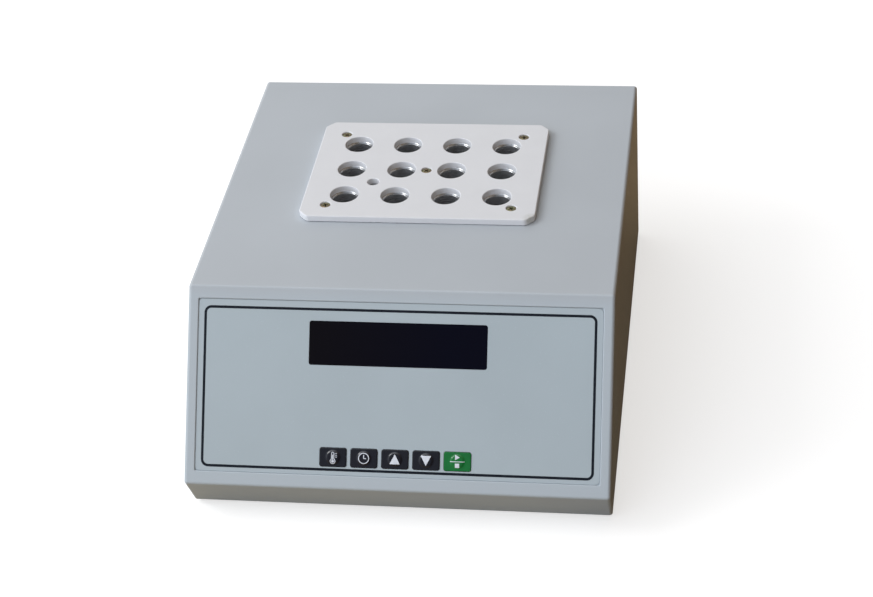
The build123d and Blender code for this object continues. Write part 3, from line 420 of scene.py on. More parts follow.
def satin_film(name, colour, border):
    """Printed film: fine satin texture and specks, with a shade of its own outside the printed outline."""
    film = Finish(name, Specular_IOR_Level=0.4)
    x = film.maths("SUBTRACT", film.maths("ABSOLUTE", film.axes(film.place)["X"]), outline_half[0] * mm)
    offset = film.add("ShaderNodeVectorMath", {0: film.place, 1: tuple(crease + down * outline_middle * mm)},
                      operation="SUBTRACT").outputs[0]
    slope = film.add("ShaderNodeVectorMath", {0: offset, 1: tuple(down)}, operation="DOT_PRODUCT").outputs["Value"]
    y = film.maths("SUBTRACT", film.maths("ABSOLUTE", slope), outline_half[1] * mm)
    outside = film.between(film.maths("MAXIMUM", x, y), -0.0001, 0.0001, 0, 1)
    inner = film.tinted(film.noise(0.06, 3), colour, 0.98, 1.02)
    inner = film.mix(film.specks(0.0021, 0.10), inner, shade(colour, 1.22))
    film.colour(film.mix(outside, inner, border))
    film.roughness(film.noise(0.0015, 2), 0.36, 0.46)
    film.relief(film.noise(0.00035, 2), 0.000006)


def dark_glass(name, left, right):
    """Dark clear pane: black-violet at one end to blue-black at the other, polished, with faint dust."""
    pane = Finish(name, Roughness=0.05, Specular_IOR_Level=0.16)
    ends = (-0.054, 0.03)
    pane.colour(pane.mix(pane.between(pane.axes(pane.place)["X"], *ends, 0, 1), left, right))
    pane.roughness(pane.noise(0.0012, 3), 0.04, 0.09)
    pane.relief(pane.noise(0.03, 1), 0.00002, 0.4)


def moulding(name, colour, grain=0.0007, low=0.4, high=0.55, sheen=0.5):
    """Moulded plastic: eroded-tool grain, slight flow clouds and a little dust."""
    plastic = Finish(name, Specular_IOR_Level=sheen)
    wear = 0.03
    base = plastic.tinted(plastic.noise(0.02, 3), colour, 1 - wear, 1 + wear)
    plastic.colour(plastic.mix(plastic.specks(grain * 2.2, 0.16), base, shade(colour, 1 + 6 * wear)))
    plastic.roughness(plastic.noise(grain * 3, 2), low, high)
    plastic.relief(plastic.noise(grain, 2), 0.00002)


def gloss_moulding(name, colour, sheen=0.3):
    """Polished film over a dome: smooth, with fine scuffs that only show in its gloss."""
    plastic = Finish(name, Specular_IOR_Level=sheen, Coat_Weight=0.7, Coat_Roughness=0.07)
    plastic.colour(plastic.tinted(plastic.noise(0.006, 2), colour, 0.92, 1.08, spread=0.2))
    plastic.roughness(plastic.noise(0.0009, 3), 0.16, 0.26)
    plastic.relief(plastic.noise(0.0025, 1), 0.000006)


def heatproof_plate(name, colour, stain):
    """White heat-proof plate: satin, slightly mottled, tool marks round its walls, its front right corner stained."""
    plate = Finish(name, Specular_IOR_Level=0.4)
    stained_place = (73.2 * mm, -13.6 * mm, 128.2 * mm)
    cloud = plate.noise(0.02, 4)
    base = plate.tinted(cloud, colour, 0.98, 1.01, spread=0.2)
    away = plate.add("ShaderNodeVectorMath", {0: plate.place, 1: stained_place}, operation="DISTANCE").outputs["Value"]
    near = plate.between(away, 0.001, 0.0062, 0.6, 0.0)
    patch = plate.maths("MULTIPLY", near, plate.between(plate.noise(0.0026, 3), 0.3, 0.65, 0.45, 1.0))
    plate.colour(plate.mix(patch, base, stain))
    plate.roughness(cloud, 0.38, 0.5)
    marks = plate.relief(plate.noise((0.03, 0.03, 0.0007), 2, 0.6), 0.00006)
    plate.relief(plate.noise(0.0006, 2), 0.000008, over=marks)


def tarnish_and_painted_shade(name, colour, patina, painted_shade_below):
    """Old plated screw: brown metal with green patches, and painted shade, near black, below a height, in its cross and
    round its rim.
    """
    metal = Finish(name, Metallic=0.75)
    cloud = metal.noise(0.0022, 3)
    base = metal.mix(metal.between(cloud, 0.4, 0.62, 0, 1), colour, patina)
    # Painted shade: below that height, in the cross and in the gap round the rim, the colour turns near black.
    painted_shade = metal.between(metal.axes(metal.place)["Z"], painted_shade_below - 0.0002, painted_shade_below, 1, 0)
    metal.colour(metal.mix(painted_shade, base, (0.012, 0.011, 0.010)))
    metal.roughness(cloud, 0.22, 0.42)
    metal.relief(metal.noise(0.0005, 2), 0.00002)


def brushed(name, colour, sizes, depth=0.000006, low=0.3, high=0.45, metallic=1.0):
    """Brushed or drawn metal: streaks stretched along the direction of work, with cloudy tarnish."""
    metal = Finish(name, Metallic=metallic)
    streak = metal.noise(sizes, 3, 0.6)
    base = metal.tinted(streak, colour, 0.85, 1.1)
    metal.colour(metal.mix(metal.between(metal.noise(0.012, 3), 0.45, 0.7, 0, 0.6), base, shade(colour, 0.75)))
    metal.roughness(streak, low, high)
    metal.relief(streak, depth)


def cast_rubber(name, colour, grain=0.0008):
    """Rubber or gasket sheet: matt, dusty and finely pitted."""
    rubber = Finish(name, Specular_IOR_Level=0.25)
    dust = rubber.noise(0.006, 4)
    rubber.colour(rubber.mix(rubber.between(dust, 0.45, 0.75, 0, 0.5), colour, shade(colour, 2.0)))
    rubber.roughness(dust, 0.7, 0.85)
    rubber.relief(rubber.noise(grain, 3), 0.00003)


def circuit(name, colour, copper):
    """Circuit board: green mask over a lattice of tracks, with dots of solder."""
    board = Finish(name, Specular_IOR_Level=0.5)
    weave = board.add("ShaderNodeTexBrick", {"Vector": board.place, "Scale": 160.0, "Mortar Size": 0.06,
                                             "Color1": (*shade(colour, 0.9), 1), "Color2": (*colour, 1),
                                             "Mortar": (*shade(colour, 1.5), 1)}).outputs
    board.colour(board.mix(board.specks(0.004, 0.16), weave["Color"], copper))
    board.roughness(board.noise(0.004, 2), 0.3, 0.4)
    board.relief(weave["Fac"], 0.00002)


def wool(name, colour):
    """Mineral wool board: flat matted fibres, uneven in colour."""
    mat = Finish(name, Roughness=0.95, Specular_IOR_Level=0.1)
    fibres = mat.noise((0.006, 0.006, 0.0012), 4, 0.7)
    mat.colour(mat.tinted(fibres, colour, 0.7, 1.1))
    mat.roughness(fibres, 0.9, 1.0)
    mat.relief(fibres, 0.0006)


def layered(name, colour, sizes, metallic, low, high):
    """Stacked sheets or wound wire: fine bands across one direction."""
    stack = Finish(name, Metallic=metallic)
    bands = stack.add("ShaderNodeTexWave", {"Vector": stack.stretched(sizes), "Scale": 1.0, "Distortion": 0.3},
                      bands_direction="Z" if sizes[2] < sizes[0] else "X").outputs["Fac"]
    stack.colour(stack.mix(bands, shade(colour, 0.6), shade(colour, 1.15)))
    stack.roughness(bands, low, high)
    stack.relief(bands, 0.0001)


def printed_ink(name, colour):
    """Screen-printed ink: opaque, slightly uneven at the pull of the squeegee."""
    ink = Finish(name, Specular_IOR_Level=0.3)
    pull = ink.noise(0.003, 3)
    ink.colour(ink.tinted(pull, colour, 0.93, 1.05))
    ink.roughness(pull, 0.4, 0.5)
    ink.relief(ink.noise(0.0005, 2), 0.000004)


# Its front colour is painted light: the bluer light falling on the front panel, put into the paint.
powder_coat("case_paint", (0.47, 0.505, 0.545), low=0.29, high=0.40, front=(0.475, 0.533, 0.585))
powder_coat("panel_paint", (0.40, 0.42, 0.44), peel=0.0009)
cast_rubber("foot_rubber", (0.02, 0.02, 0.022))
brushed("steel_screw", (0.55, 0.56, 0.58), (0.002, 0.002, 0.002))
satin_film("overlay_film", (0.43, 0.503, 0.55), border=(0.445, 0.515, 0.565))
dark_glass("window_pane", (0.004, 0.003, 0.005), (0.002, 0.002, 0.008))
moulding("dark_plastic", (0.03, 0.03, 0.033))
gloss_moulding("key_dark", (0.008, 0.009, 0.016))
gloss_moulding("key_green", (0.004, 0.172, 0.033))
circuit("circuit_board", (0.02, 0.12, 0.05), (0.5, 0.5, 0.48))
brushed("brass_part", (0.60, 0.44, 0.20), (0.001, 0.001, 0.01))
heatproof_plate("plate_white", (0.735, 0.742, 0.77), stain=(0.30, 0.30, 0.22))
cast_rubber("gasket_grey", (0.20, 0.21, 0.22))
# Below that height the screws' cross and rim take painted shade, near black.
tarnish_and_painted_shade("plate_screw_brass", (0.23, 0.17, 0.11), patina=(0.17, 0.185, 0.10), painted_shade_below=0.12795)
brushed("block_metal", (0.62, 0.62, 0.63), (0.02, 0.002, 0.002))
brushed("liner_steel", (0.58, 0.59, 0.61), (0.012, 0.012, 0.0006), depth=0.000004, low=0.2, high=0.28, metallic=0.78)
cast_rubber("heater_mat", (0.30, 0.08, 0.03), grain=0.002)
brushed("clamp_steel", (0.50, 0.50, 0.51), (0.03, 0.001, 0.001))
moulding("ceramic", (0.75, 0.72, 0.66), grain=0.001, low=0.6, high=0.75, sheen=0.4)
wool("wool", (0.62, 0.60, 0.52))
moulding("inlet_plastic", (0.018, 0.018, 0.020), grain=0.0006)
gloss_moulding("rocker_plastic", (0.02, 0.02, 0.022), sheen=0.5)
brushed("fuse_glass", (0.7, 0.7, 0.7), (0.001, 0.01, 0.001))
layered("core_steel", (0.16, 0.16, 0.17), (1.0, 0.0005, 1.0), 0.7, 0.4, 0.55)
layered("coil_wire", (0.45, 0.20, 0.08), (1.0, 1.0, 0.0009), 0.3, 0.35, 0.5)
brushed("sink_metal", (0.35, 0.35, 0.36), (0.002, 0.002, 0.03))
printed_ink("outline_ink", (0.004, 0.008, 0.018))
printed_ink("mark_ink", (0.74, 0.78, 0.86))

slot_of = {part["node"]: part["material_slot"] for part in frame["record"]["subparts"]}
for node, held in frame["nodes"].items():
    for holder in held.material_slots:
        holder.material = finishes[slot_of[node]]


# ---- case
top_normal = np.array([0.0, 1.0])
front_normal = outward[1:]
lip_normal = np.array([-(nose[1] - base_z), -(lip_back_y - nose[0])])
lip_normal /= np.linalg.norm(lip_normal)
bend_steps = 9
top_opening = rounded(opening_half, opening_corner) + [0, block_y]
recess_openings = panel_openings(window_ledge, window_corner=1.0, key_gap=0.5, steps=5)


def bend_middle(place, before, after):
    """Where the lines through a corner, both moved inwards by the bend radius, meet: the middle of the bend."""
    return np.array(place) + np.linalg.solve([before, after], [-bend, -bend])


def side_outline(inset):
    """The case's side outline (Y, Z) moved inwards: back edge of the top, round the crease and the nose, down the lip.

    Each bend is an arc about its own fixed middle, of the bend radius less the inset.
    """
    arcs = []
    for place, before, after in (((crease_y, top_z), top_normal, front_normal), (nose, front_normal, lip_normal)):
        share = np.linspace(0, 1, bend_steps)[:, None]
        angle = np.arccos(before @ after)
        normals = (np.sin((1 - share) * angle) * before + np.sin(share * angle) * after) / np.sin(angle)
        arcs.append(bend_middle(place, before, after) + (bend - inset) * normals)
    foot = (lip_back_y - inset / lip_normal[0], base_z)
    return np.vstack([[(rear_y, top_z - inset)], *arcs, [foot]])


def cover_side(inset):
    """Rows of points round one long bend: a quarter circle on which X grows while the side outline moves inwards."""
    rows = []
    for shift, drop in quarter(bend - inset, 7):
        outline = side_outline(inset + shift)
        rows.append(np.column_stack([np.full(len(outline), case_half - inset - drop), outline]))
    return np.stack(rows)


def case_skin(inset):
    """One side of the case's sheet: outer skin at inset 0, inner skin at the sheet's thickness."""
    rows = cover_side(inset)
    edge, count = rows[0], rows.shape[1]
    half, flat_half = case_half - inset, case_half - bend
    shapes = []
    for sign in (1, -1):
        shapes.append(((rows * [sign, 1, 1] * mm).reshape(-1, 3), quads(*rows.shape[:2]).tolist()))
        wall = np.vstack([rows[-1], [[half, rear_y, base_z]]]) * [sign, 1, 1] * mm
        shapes.append((wall, [list(range(len(wall)))]))

    # The outline's points: the back edge, the crease's bend, the nose's bend, the lip's foot.
    crease_end, nose_start = bend_steps, bend_steps + 1
    strips = [*range(1, crease_end), *range(nose_start, count - 1)]
    shapes.append(((np.stack([edge * [-1, 1, 1], edge]) * mm).reshape(-1, 3),
                   [[c, c + 1, count + c + 1, count + c] for c in strips]))
    top = oblong(-flat_half, flat_half, edge[1][1], rear_y)
    shapes.append(moved(sheet_between([top, top_opening], top_z - inset), upright()))

    # The panel with its recess, whose rim is softly rounded on the outer skin.
    high, low = (edge[[crease_end, nose_start], 1:] - [crease_y, top_z]) @ down[1:]
    rim = 0.7 if inset == 0 else 0.0
    loops, heights = [], []
    for shift, drop in quarter(rim, 6)[::-1]:
        grown = inset + shift
        loops.append(rounded(recess_half, recess_corner + grown, 8, grown) + [0, recess_middle])
        heights.append(-inset - drop)
    floor_height = -recess_depth - inset
    shapes.append(panel_sheet([oblong(-flat_half, flat_half, high, low), loops[0]], -inset))
    shapes.append(panel_wall([*loops, loops[-1]], [*heights, floor_height]))
    shapes.append(panel_sheet([loops[-1], *recess_openings], floor_height))
    return shapes


def open_edge(inset):
    """The cover's free edge: over the back of both sides and the top, and along the bottom of the sides and the lip."""
    rows, half, mirror = cover_side(inset), case_half - inset, np.array([-1, 1, 1])
    return np.vstack([[(-half, rear_y, base_z)], rows[::-1, 0] * mirror, rows[:, 0],
                      [(half, rear_y, base_z)], rows[::-1, -1], rows[:, -1] * mirror])


def bar(x0, x1, y0, y1, z0, z1):
    """A flat strip of sheet between two corners."""
    return moved(stacked([at_height(oblong(x0, x1, y0, y1), z) for z in (z0, z1)]), upright())


def case_cover():
    """Bent and welded sheet cover: both skins, the edges between them, and the inside flanges."""
    edges = [open_edge(0.0), open_edge(sheet)]
    shapes = case_skin(0.0) + case_skin(sheet)
    shapes.append((np.concatenate(edges) * mm, quads(2, len(edges[0]), round_columns=True).tolist()))
    shapes.append(moved(sleeve([at_height(top_opening, z) for z in (top_z, top_z - sheet)]), upright()))
    shapes += [panel_wall((hole, hole), (-recess_depth, -recess_depth - sheet)) for hole in recess_openings]
    inner, back, high = case_half - sheet, rear_y - sheet, top_z - sheet
    low, above = base_z + sheet, base_z + 2 * sheet
    for side in (-1, 1):
        wall, end = side * inner, side * (inner - flange)
        shapes.append(bar(wall, end, lip_back_y + 3, back - 0.3, low, above))
        shapes.append(bar(wall, end, back - sheet, back, above, high))
    shapes.append(bar(-inner, inner, back - sheet, back, high - flange, high))
    piece("case_cover_bent", shapes, "case_paint", stands_for=("case_cover",), crease_angle=32)


case_cover()


# ---- top plate
def mouth(radius, rim):
    """The rounded mouth of a hole in the plate, as (radius, height): a quarter circle up to the plate's face."""
    return [(radius + shift, plate_high - drop) for shift, drop in quarter(rim, 7)]


def top_plate():
    """Plate with clipped corners, softly rounded edge and a rounded mouth at each bore, well and screw."""
    bore, well, sunk = 9.2, 3.8, 3.35
    edge, bore_rim, small_rim = 0.7, 0.45, 0.5
    seat = [(screw_hole, plate_low), (screw_hole, screw_neck), (sunk, screw_rim), *mouth(sunk, small_rim)]
    holes = [(place, [(bore, plate_low), *mouth(bore, bore_rim)], round_steps) for place in bore_places]
    holes.append((well_place, [(well, plate_low), *mouth(well, small_rim)], small_steps))
    holes += [(place, seat, small_steps) for place in plate_screw_places]
    rings = [at_height(clipped(plate_half, plate_clip, plate_soft), plate_low)]
    rings += [at_height(clipped(plate_half, plate_clip, plate_soft, shift), plate_high - drop)
              for shift, drop in quarter(edge, 7)]
    shapes = [moved(sleeve(rings), upright(0, plate_y))]
    top, bottom = [rings[-1][:, :2] + [0, plate_y]], [rings[0][:, :2] + [0, plate_y]]
    for place, profile, steps in holes:
        rings = turned(profile, steps)
        shapes.append(moved(sleeve(rings), upright(*place)))
        top.append(rings[-1][:, :2] + place)
        bottom.append(rings[0][:, :2] + place)
    shapes += [moved(sheet_between(loops, z), upright()) for loops, z in ((top, plate_high), (bottom, plate_low))]
    piece("top_plate_rounded", shapes, "plate_white", stands_for=("top_plate",), crease_angle=50)


def gasket():
    """Thin dark sheet under the plate, with the plate's clipped outline and a round opening at each liner and screw."""
    low, half, clip, soft, bore, well = top_z + 0.01, (74.1, 54.2), 4.8, 3.0, 9.35, 4.0
    holes = [(place, bore, round_steps) for place in bore_places] + [(well_place, well, small_steps)]
    holes += [(place, screw_hole, small_steps) for place in plate_screw_places]
    loops = [clipped(half, clip, soft) + [0, plate_y]]
    loops += [circle(radius, steps) + place for place, radius, steps in holes]
    shapes = [moved(sheet_between(loops, z), upright()) for z in (low, plate_low)]
    shapes += [moved(sleeve([at_height(loop, z) for z in (low, plate_low)]), upright()) for loop in loops]
    piece("gasket_sheet", shapes, "gasket_grey", stands_for=("plate_gasket",), crease_angle=50)


def liner(place, radius, wall, depth, steps, flare, flare_depth, lip):
    """A drawn steel cup, turned about its axis: mouth flared as a cone with soft ends, straight wall, round floor.

    The flare runs with a share s of its depth as radius + flare * (1 - s - sin(2 pi s) / 14).
    """
    below, hub = -depth - 1.5, 0.5
    profile = [(hub, below), (radius + wall, below), (radius + wall, lip - 0.1), (radius + wall - 0.1, lip)]
    profile += [(radius + flare * (1 - s - np.sin(2 * np.pi * s) / 14), lip - flare_depth * s)
                for s in np.linspace(0, 1, 9)]
    profile += [(radius, z) for z in (-3.0, -6.0, -15.0, -35.0)]
    profile += [(radius - shift, drop - depth) for shift, drop in quarter(1.2, 6)]
    profile += [(hub, -depth)]
    return moved(stacked(turned([(r, top_z + z) for r, z in profile], steps)), upright(*place))


def screw_face(x, y):
    """Height of a screw's head at a place on it: a shallow dome, that falls with the square, and a cross pressed in."""
    dome_height, cross_depth, half_width, half_length = 0.5, 1.0, 0.42, 1.75

    def slot(across, along):
        """1 inside one slot of the cross, 0 outside it."""
        return inside(np.abs(across) - half_width, 0.05) * inside(np.abs(along) - half_length, 0.07)
    return dome_height * (1 - (np.hypot(x, y) / screw_head) ** 2) - cross_depth * np.maximum(slot(x, y), slot(y, x))


def plate_screw(place, turn):
    """A raised countersunk screw: rings of the head's face over its cone and its shank."""
    low, shank = 112.1, 1.9
    rings = turned([(0.4, low), (1.4, low + 0.3), (shank, low + 1.3), (shank, screw_neck),
                    (screw_head, screw_rim - 0.05), (screw_head, screw_rim + 0.05)])
    turning = [[np.cos(turn), -np.sin(turn)], [np.sin(turn), np.cos(turn)]]
    for radius in np.concatenate([[3.1, 2.9, 2.6, 2.3], np.arange(2.1, 0.05, -0.1)]):
        flat = circle(radius)
        rings.append(at_height(flat, screw_rim + 0.02 + screw_face(*(flat @ turning).T)))
    return moved(stacked(rings), upright(*place))


top_plate()
gasket()
bore_cup = dict(radius=8.3, wall=1.0, depth=70.0, steps=round_steps, flare=0.9, flare_depth=1.1, lip=0.42)
well_cup = dict(radius=3.2, wall=0.8, depth=45.0, steps=small_steps, flare=0.2, flare_depth=0.3, lip=0.0)
liners = [liner(place, **bore_cup) for place in bore_places] + [liner(well_place, **well_cup)]
piece("bore_liners_turned", liners, "liner_steel", stands_for=("bore_liners",), crease_angle=50)
screws = [plate_screw(place, turn) for place, turn in zip(plate_screw_places, (0.3, 1.0, 0.6, 0.1, 0.8))]
piece("plate_screws_raised", screws, "plate_screw_brass", stands_for=("plate_screws",), crease_angle=45)


# ---- keypad
def keypad_overlay():
    """Printed film on its backing: a flat sheet that fills the recess, with openings for the pane and the keys."""
    gap, edge, corner_radius = 0.12, 0.08, 3.0
    outer, inner = [rounded(recess_half, corner_radius - inset, 12, -gap - inset) + [0, recess_middle]
                    for inset in (0.0, edge)]
    holes = panel_openings(0.0, window_corner=1.5, key_gap=0.25, steps=8)
    shapes = [panel_sheet([inner, *holes], overlay_face), panel_sheet([outer, *holes], -recess_depth)]
    shapes.append(panel_wall((outer, outer, inner), (-recess_depth, overlay_face - edge, overlay_face)))
    shapes += [panel_wall((hole, hole), (-recess_depth, overlay_face)) for hole in holes]
    piece("keypad_overlay_film", shapes, "overlay_film", stands_for=("keypad_overlay",), crease_angle=30)


def display_pane():
    """Clear dark pane: rounded rectangles from its back to its face, the last two a narrow bevel."""
    gap, bevel, corner_radius = 0.1, 0.12, 1.4
    rings = [at_height(rounded(window_half, corner_radius - inset, 8, -gap - inset), z)
             for inset, z in ((0, -recess_depth), (0, overlay_face - bevel), (bevel, overlay_face))]
    shape = moved(stacked(rings), on_panel(0, window_middle))
    piece("display_pane", [shape], "window_pane", stands_for=("display_window",), crease_angle=30)


def printed_outline():
    """Line printed round the keypad: a thin band carried round a rounded rectangle on the overlay."""
    half_width, corner_radius, foot, face = 0.8, 3.6, overlay_face - 0.03, overlay_face + 0.02
    rings = [at_height(rounded(outline_half, corner_radius + step, 16, step), z)
             for step, z in ((-half_width, foot), (-half_width, face), (half_width, face), (half_width, foot))]
    shape = moved(looped(rings), on_panel(0, outline_middle))
    piece("printed_outline", [shape], "outline_ink", crease_angle=60)


def key_height(x, y):
    """Height of a key's film at a place on it: flat, with a round dome pressed up, its shoulder a smooth step."""
    dome_radius, dome_height, shoulder = 3.95, 0.58, 0.27
    return key_base + dome_height * inside(np.hypot(x, y) - dome_radius, shoulder)


def key_outline(turn, inset=0.0):
    """Where rays at those angles from a key's middle meet its edge: a straight side, or a corner's circle beyond it."""
    half, corner_radius = np.array(key_half) - inset, key_corner - 0.5 * inset
    middle = half - corner_radius
    way = arc(1.0, turn)
    side = np.min(half / np.maximum(np.abs(way), 1e-9), axis=1)
    along = np.abs(way) @ middle
    round_corner = along + np.sqrt(np.maximum(along ** 2 - middle @ middle + corner_radius ** 2, 0))
    in_corner = np.all(np.abs(way) * side[:, None] > middle, axis=1)
    return way * np.where(in_corner, round_corner, side)[:, None]


def key_cap(name, x):
    """A key: rings that shrink over a soft edge and turn into circles over the dome, with tabs and a stem behind."""
    back, dome_foot, stem_radius, tab_half, tab_corner = -3.0, 5.1, 2.4, (8.2, 7.2), 1.6
    corners = rounded(key_half, key_corner, 7)
    turn = np.sort(np.concatenate([np.linspace(-np.pi, np.pi, 96, endpoint=False) + 0.01,
                                   np.arctan2(corners[:, 1], corners[:, 0])]))
    rings = [at_height(key_outline(turn), back)]
    rings += [at_height(key_outline(turn, shift), key_base - drop) for shift, drop in quarter(0.3, 6)]
    edge, dome = rings[-1][:, :2], arc(dome_foot, turn)
    flats = [edge * (1 - share) + dome * share for share in np.linspace(0, 1, 5)[1:]]
    flats += [dome * radius / dome_foot for radius in (4.9, 4.75, 4.6, 4.45, 4.3, 4.15, 4.0, 3.85, 3.7, 3.55, 3.4,
                                                       3.2, 3.0, 2.7, 2.2, 1.2, 0.4)]
    rings += [at_height(flat, key_height(*flat.T)) for flat in flats]
    tabs = [at_height(rounded(tab_half, tab_corner), z) for z in (back, back - 1.0)]
    stem = turned([(stem_radius, back - 1.0), (stem_radius, back - 1.6)], 32)
    shapes = [moved(stacked(body), on_panel(x, key_slope)) for body in (rings, tabs, stem)]
    piece(name + "_cap", shapes, "key_green" if name == "key_start" else "key_dark", body_of(name), (name,))


# ---- marks
mark_lift, mark_root = 0.035, -0.08  # a mark's face over the film, and how deep its sides are set in


def stroke(path, width, closed=False, face=key_height):
    """A raised ribbon: a flat strip carried along a path at the height of the face under it, its sides set into it."""
    path = np.asarray(path, float)
    ahead = np.roll(path, -1, 0) - path if closed else np.gradient(path, axis=0)
    back = path - np.roll(path, 1, 0) if closed else ahead
    way = ahead / np.linalg.norm(ahead, axis=1)[:, None] + back / np.linalg.norm(back, axis=1)[:, None]
    way /= np.linalg.norm(way, axis=1)[:, None]
    across = np.stack([-way[:, 1], way[:, 0]], -1) * width / 2
    rows = []
    for side, lift in ((-1, mark_root), (-1, mark_lift), (1, mark_lift), (1, mark_root)):
        flat = path + side * across
        rows.append(at_height(flat, face(*flat.T) + lift))
    faces = quads(4, len(path), round_rows=True, round_columns=closed).tolist()
    if not closed:
        n = len(path)
        faces += [[0, n, 2 * n, 3 * n], [4 * n - 1, 3 * n - 1, 2 * n - 1, n - 1]]
    return np.concatenate(rows), faces


def filled(outline_low, outline_high):
    """A raised patch on a key between two lines of equal count: a grid across them over the film, closed below."""
    share = np.linspace(0, 1, line_steps)[:, None, None]
    flat = np.asarray(outline_low, float) * (1 - share) + np.asarray(outline_high, float) * share
    rows, columns = flat.shape[:2]
    heights = key_height(flat[..., 0], flat[..., 1])
    layers = [np.concatenate([flat, (heights + lift)[..., None]], -1).reshape(-1, 3) for lift in (mark_lift, mark_root)]
    upper = quads(rows, columns)
    lower = upper[:, ::-1] + rows * columns
    border = np.concatenate([np.arange(columns), np.arange(1, rows) * columns + columns - 1,
                             (rows - 1) * columns + np.arange(columns - 2, -1, -1),
                             np.arange(rows - 2, 0, -1) * columns])
    after = np.roll(border, -1)
    wall = np.stack([after, border, border + rows * columns, after + rows * columns], -1)
    return np.concatenate(layers), np.concatenate([upper, lower, wall]).tolist()


def key_marks():
    """Plain marks on the keys: a thermometer, a clock, two arrowheads, and start over stop."""
    bulb_place, half_turn = [0, -2.35], np.linspace(0, np.pi, 21)
    tube = np.concatenate([line(-0.75, -1.1, -0.75, 2.2), arc(0.75, np.linspace(np.pi, 0, 9)) + [0, 2.3],
                           line(0.75, 2.2, 0.75, -1.1),
                           arc(1.5, np.linspace(0.33 * np.pi, -1.33 * np.pi, 28)) + bulb_place])
    marks = {
        "key_temperature": [stroke(tube, 0.42), stroke(line(0, -2.3, 0, 1.6), 0.55),
                            filled(arc(0.85, half_turn) + bulb_place, arc(0.85, -half_turn) + bulb_place),
                            *(stroke(line(1.6, y, 2.5, y), 0.4) for y in (0.2, 1.3, 2.4))],
        "key_time": [stroke(circle(3.1, small_steps), 0.5, closed=True), stroke(line(0, 0, 0, 2.1), 0.5),
                     stroke(line(-0.2, -0.1, 1.5, -0.1), 0.5)],
        "key_up": [filled(line(-3.15, -2.9, 3.15, -2.9), line(-0.05, 3.1, 0.05, 3.1))],
        "key_down": [filled(line(-0.05, -3.1, 0.05, -3.1), line(-3.15, 2.9, 3.15, 2.9))],
        "key_start": [stroke(line(-4.4, 0, 4.4, 0), 0.42),
                      filled(line(-1.3, 0.95, -1.3, 4.15), line(1.5, 2.5, 1.5, 2.6)),
                      filled(line(-1.3, -3.7, 1.3, -3.7), line(-1.3, -1.1, 1.3, -1.1))],
    }
    for name, shapes in marks.items():
        placed = [moved(shape, on_panel(key_places[name], key_slope)) for shape in shapes]
        piece(name + "_mark", placed, "mark_ink", body_of(name), crease_angle=60)


def rocker_face(x, y):
    """Height of the rocker's face over its pin: two flats that fall to the middle."""
    end_height, fall, half_length = 5.9, 1.3, 7.3
    return end_height - fall * (1 - np.abs(y) / half_length)


def on_rocker(p):
    """Places a shape on the rocker as it lies at rest: turned by its tilt about its pin, lower end in."""
    back = p[:, 2] * np.cos(rocker_tilt) + p[:, 1] * np.sin(rocker_tilt)
    rise = p[:, 1] * np.cos(rocker_tilt) - p[:, 2] * np.sin(rocker_tilt)
    return np.stack([rocker_pin[0] - p[:, 0], rocker_pin[1] + back, rocker_pin[2] + rise], -1) * mm


def rocker_marks():
    """Plain marks on the rocker: a bar for on above, a ring for off below."""
    marks = [stroke(line(0, 3.1, 0, 5.7), 0.55, face=rocker_face),
             stroke(circle(1.3, small_steps) + [0, -4.4], 0.5, closed=True, face=rocker_face)]
    placed = [moved(mark, on_rocker) for mark in marks]
    piece("rocker_marks", placed, "mark_ink", body_of("switch_rocker"), crease_angle=60)


keypad_overlay()
display_pane()
for name, x in key_places.items():
    key_cap(name, x)
key_marks()
printed_outline()
rocker_marks()
for node in ("switch_rocker", "feet", "base_screws", "rear_screws", "mains_inlet",
             "inlet_screws", "power_switch", "fuse_drawer", "fuses", "rear_panel", "base_plate"):
    smoothed(node)


# ---- studio
def floor():
    """Pale floor with the soft shadow; what it throws back at the machine is the warm light of a bench top, with
    painted shadow to the machine's right.
    """
    mesh = bpy.data.meshes.new("floor")
    mesh.from_pydata([(-4, -4, 0), (4, -4, 0), (4, 4, 0), (-4, 4, 0)], [], [(0, 1, 2, 3)])
    made = linked("floor", mesh)
    made.location.z = -0.0001
    card = Finish("floor_card", Roughness=0.9, Specular_IOR_Level=0.0, Emission_Color=(1, 1, 1, 1))
    path = card.add("ShaderNodeLightPath").outputs
    seen = card.maths("MAXIMUM", path["Is Camera Ray"], path["Is Transmission Ray"])
    across, along, _ = card.axes(card.place)
    grain = card.noise((0.12, 0.03, 0.1), 3, 0.6)
    # Painted shadow, only in what the floor throws back: right of the machine the bench turns dark brown, darkest
    # towards the front, where the machine's shade falls; a grain mottles it darker.
    painted_shadow_bench = card.mix(card.between(along, -0.1, 0.3, 0, 1), (0.11, 0.066, 0.032), (0.30, 0.20, 0.10))
    painted_shadow_bench = card.mix(card.between(grain, 0.4, 0.65, 0, 0.4), painted_shadow_bench, (0.05, 0.03, 0.015))
    bench = card.mix(card.between(across, 0.08, 0.2, 0, 1), (0.375, 0.285, 0.16), painted_shadow_bench)
    card.colour(card.mix(seen, bench, (0.55, 0.55, 0.55)))
    card.tree.links.new(card.maths("MULTIPLY", seen, 0.62), card.surface.inputs["Emission Strength"])
    mesh.materials.append(card.material)


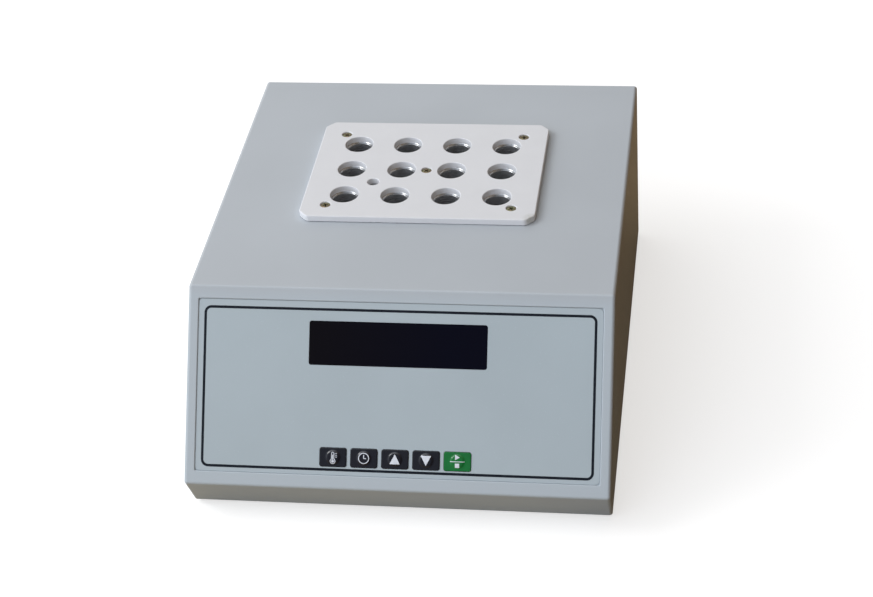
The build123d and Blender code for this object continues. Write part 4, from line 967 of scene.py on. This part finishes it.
def room():
    """Soft room light: bright from the left and in front, dimmer from behind, dim and warm from the right.

    Camera rays see plain white. Glossy rays see the room brighter overhead and dark on the camera's side.
    """
    world = bpy.data.worlds.new("room")
    bpy.context.scene.world = world
    world.use_nodes = True
    world.node_tree.nodes.clear()
    sky = Nodes(world.node_tree)
    axes = sky.axes(sky.add("ShaderNodeTexCoord").outputs["Generated"])
    path = sky.add("ShaderNodeLightPath").outputs

    def spread(axis, low, high, to_low, to_high):
        """A smooth change along one axis of the direction looked in."""
        return sky.between(axes[axis], low, high, to_low, to_high, interpolation_type="SMOOTHSTEP")

    def glow(strength, colour):
        """Light of that strength and colour."""
        return sky.add("ShaderNodeBackground", {"Color": colour, "Strength": strength}).outputs[0]

    def pick(factor, other, chosen):
        """The chosen light where the factor is 1, the other where it is 0."""
        return sky.add("ShaderNodeMixShader", {0: factor, 1: other, 2: chosen}).outputs[0]

    lit = sky.maths("MULTIPLY", spread("X", -0.7, 0.72, 1.25, 0.15), spread("Y", -0.6, 0.5, 1.38, 0.74))
    tint = sky.mix(spread("Y", -0.8, 0.3, 0.0, 1.0), (0.905, 0.985, 1.10), (0.985, 0.99, 0.985))
    tint = sky.mix(spread("X", -0.05, 0.5, 0.0, 1.0), tint, (1.0, 0.74, 0.46))
    shine = sky.maths("MULTIPLY", spread("X", -0.5, 0.4, 1.2, 0.28), spread("Y", -0.95, 0.1, 0.22, 1.0))
    shine = sky.maths("MULTIPLY", shine, spread("Z", 0.7, 0.97, 1.0, 2.4))
    rays = pick(path["Is Glossy Ray"], glow(lit, tint), glow(shine, tint))
    seen = sky.maths("MAXIMUM", path["Is Camera Ray"], path["Is Transmission Ray"])
    sky.add("ShaderNodeOutputWorld", {"Surface": pick(seen, rays, glow(1.0, (1, 1, 1, 1)))})


def left_window():
    """A square soft light at the left, that looks at the machine."""
    place, aim = Vector((-1.55, -0.3, 1.5)), Vector((0, 0, 0.1))
    lamp = bpy.data.lights.new("left_window", "AREA")
    lamp.shape = "RECTANGLE"
    lamp.size = lamp.size_y = 0.75
    lamp.energy = 12.0
    towards = (aim - place).to_track_quat("-Z", "Y").to_matrix().to_4x4()
    linked("left_window", lamp).matrix_world = Matrix.Translation(place) @ towards


def camera():
    """The camera, at the place, turn and roll that the case's corners and the holes give."""
    place = (0.199661, -1.022522, 0.837513)
    azimuth, elevation, roll = np.radians([-9.507, 36.498, -4.303])
    forward = np.array([np.sin(azimuth) * np.cos(elevation), np.cos(azimuth) * np.cos(elevation), -np.sin(elevation)])
    level = np.array([np.cos(azimuth), -np.sin(azimuth), 0.0])
    rise = np.cross(level, forward)
    right = np.cos(roll) * level + np.sin(roll) * rise
    up = -np.sin(roll) * level + np.cos(roll) * rise
    lens = bpy.data.cameras.new("camera")
    lens.sensor_width = 36.0
    lens.lens = 81.94
    lens.shift_x, lens.shift_y = -0.0364, -0.0224
    lens.clip_start, lens.clip_end = 0.05, 30.0
    made = linked("camera", lens)
    turn = Matrix(np.column_stack([right, up, -forward]).tolist()).to_4x4()
    made.matrix_world = Matrix.Translation(place) @ turn
    bpy.context.scene.camera = made


floor()
room()
camera()
left_window()
bpy.context.scene.view_settings.view_transform = "Standard"
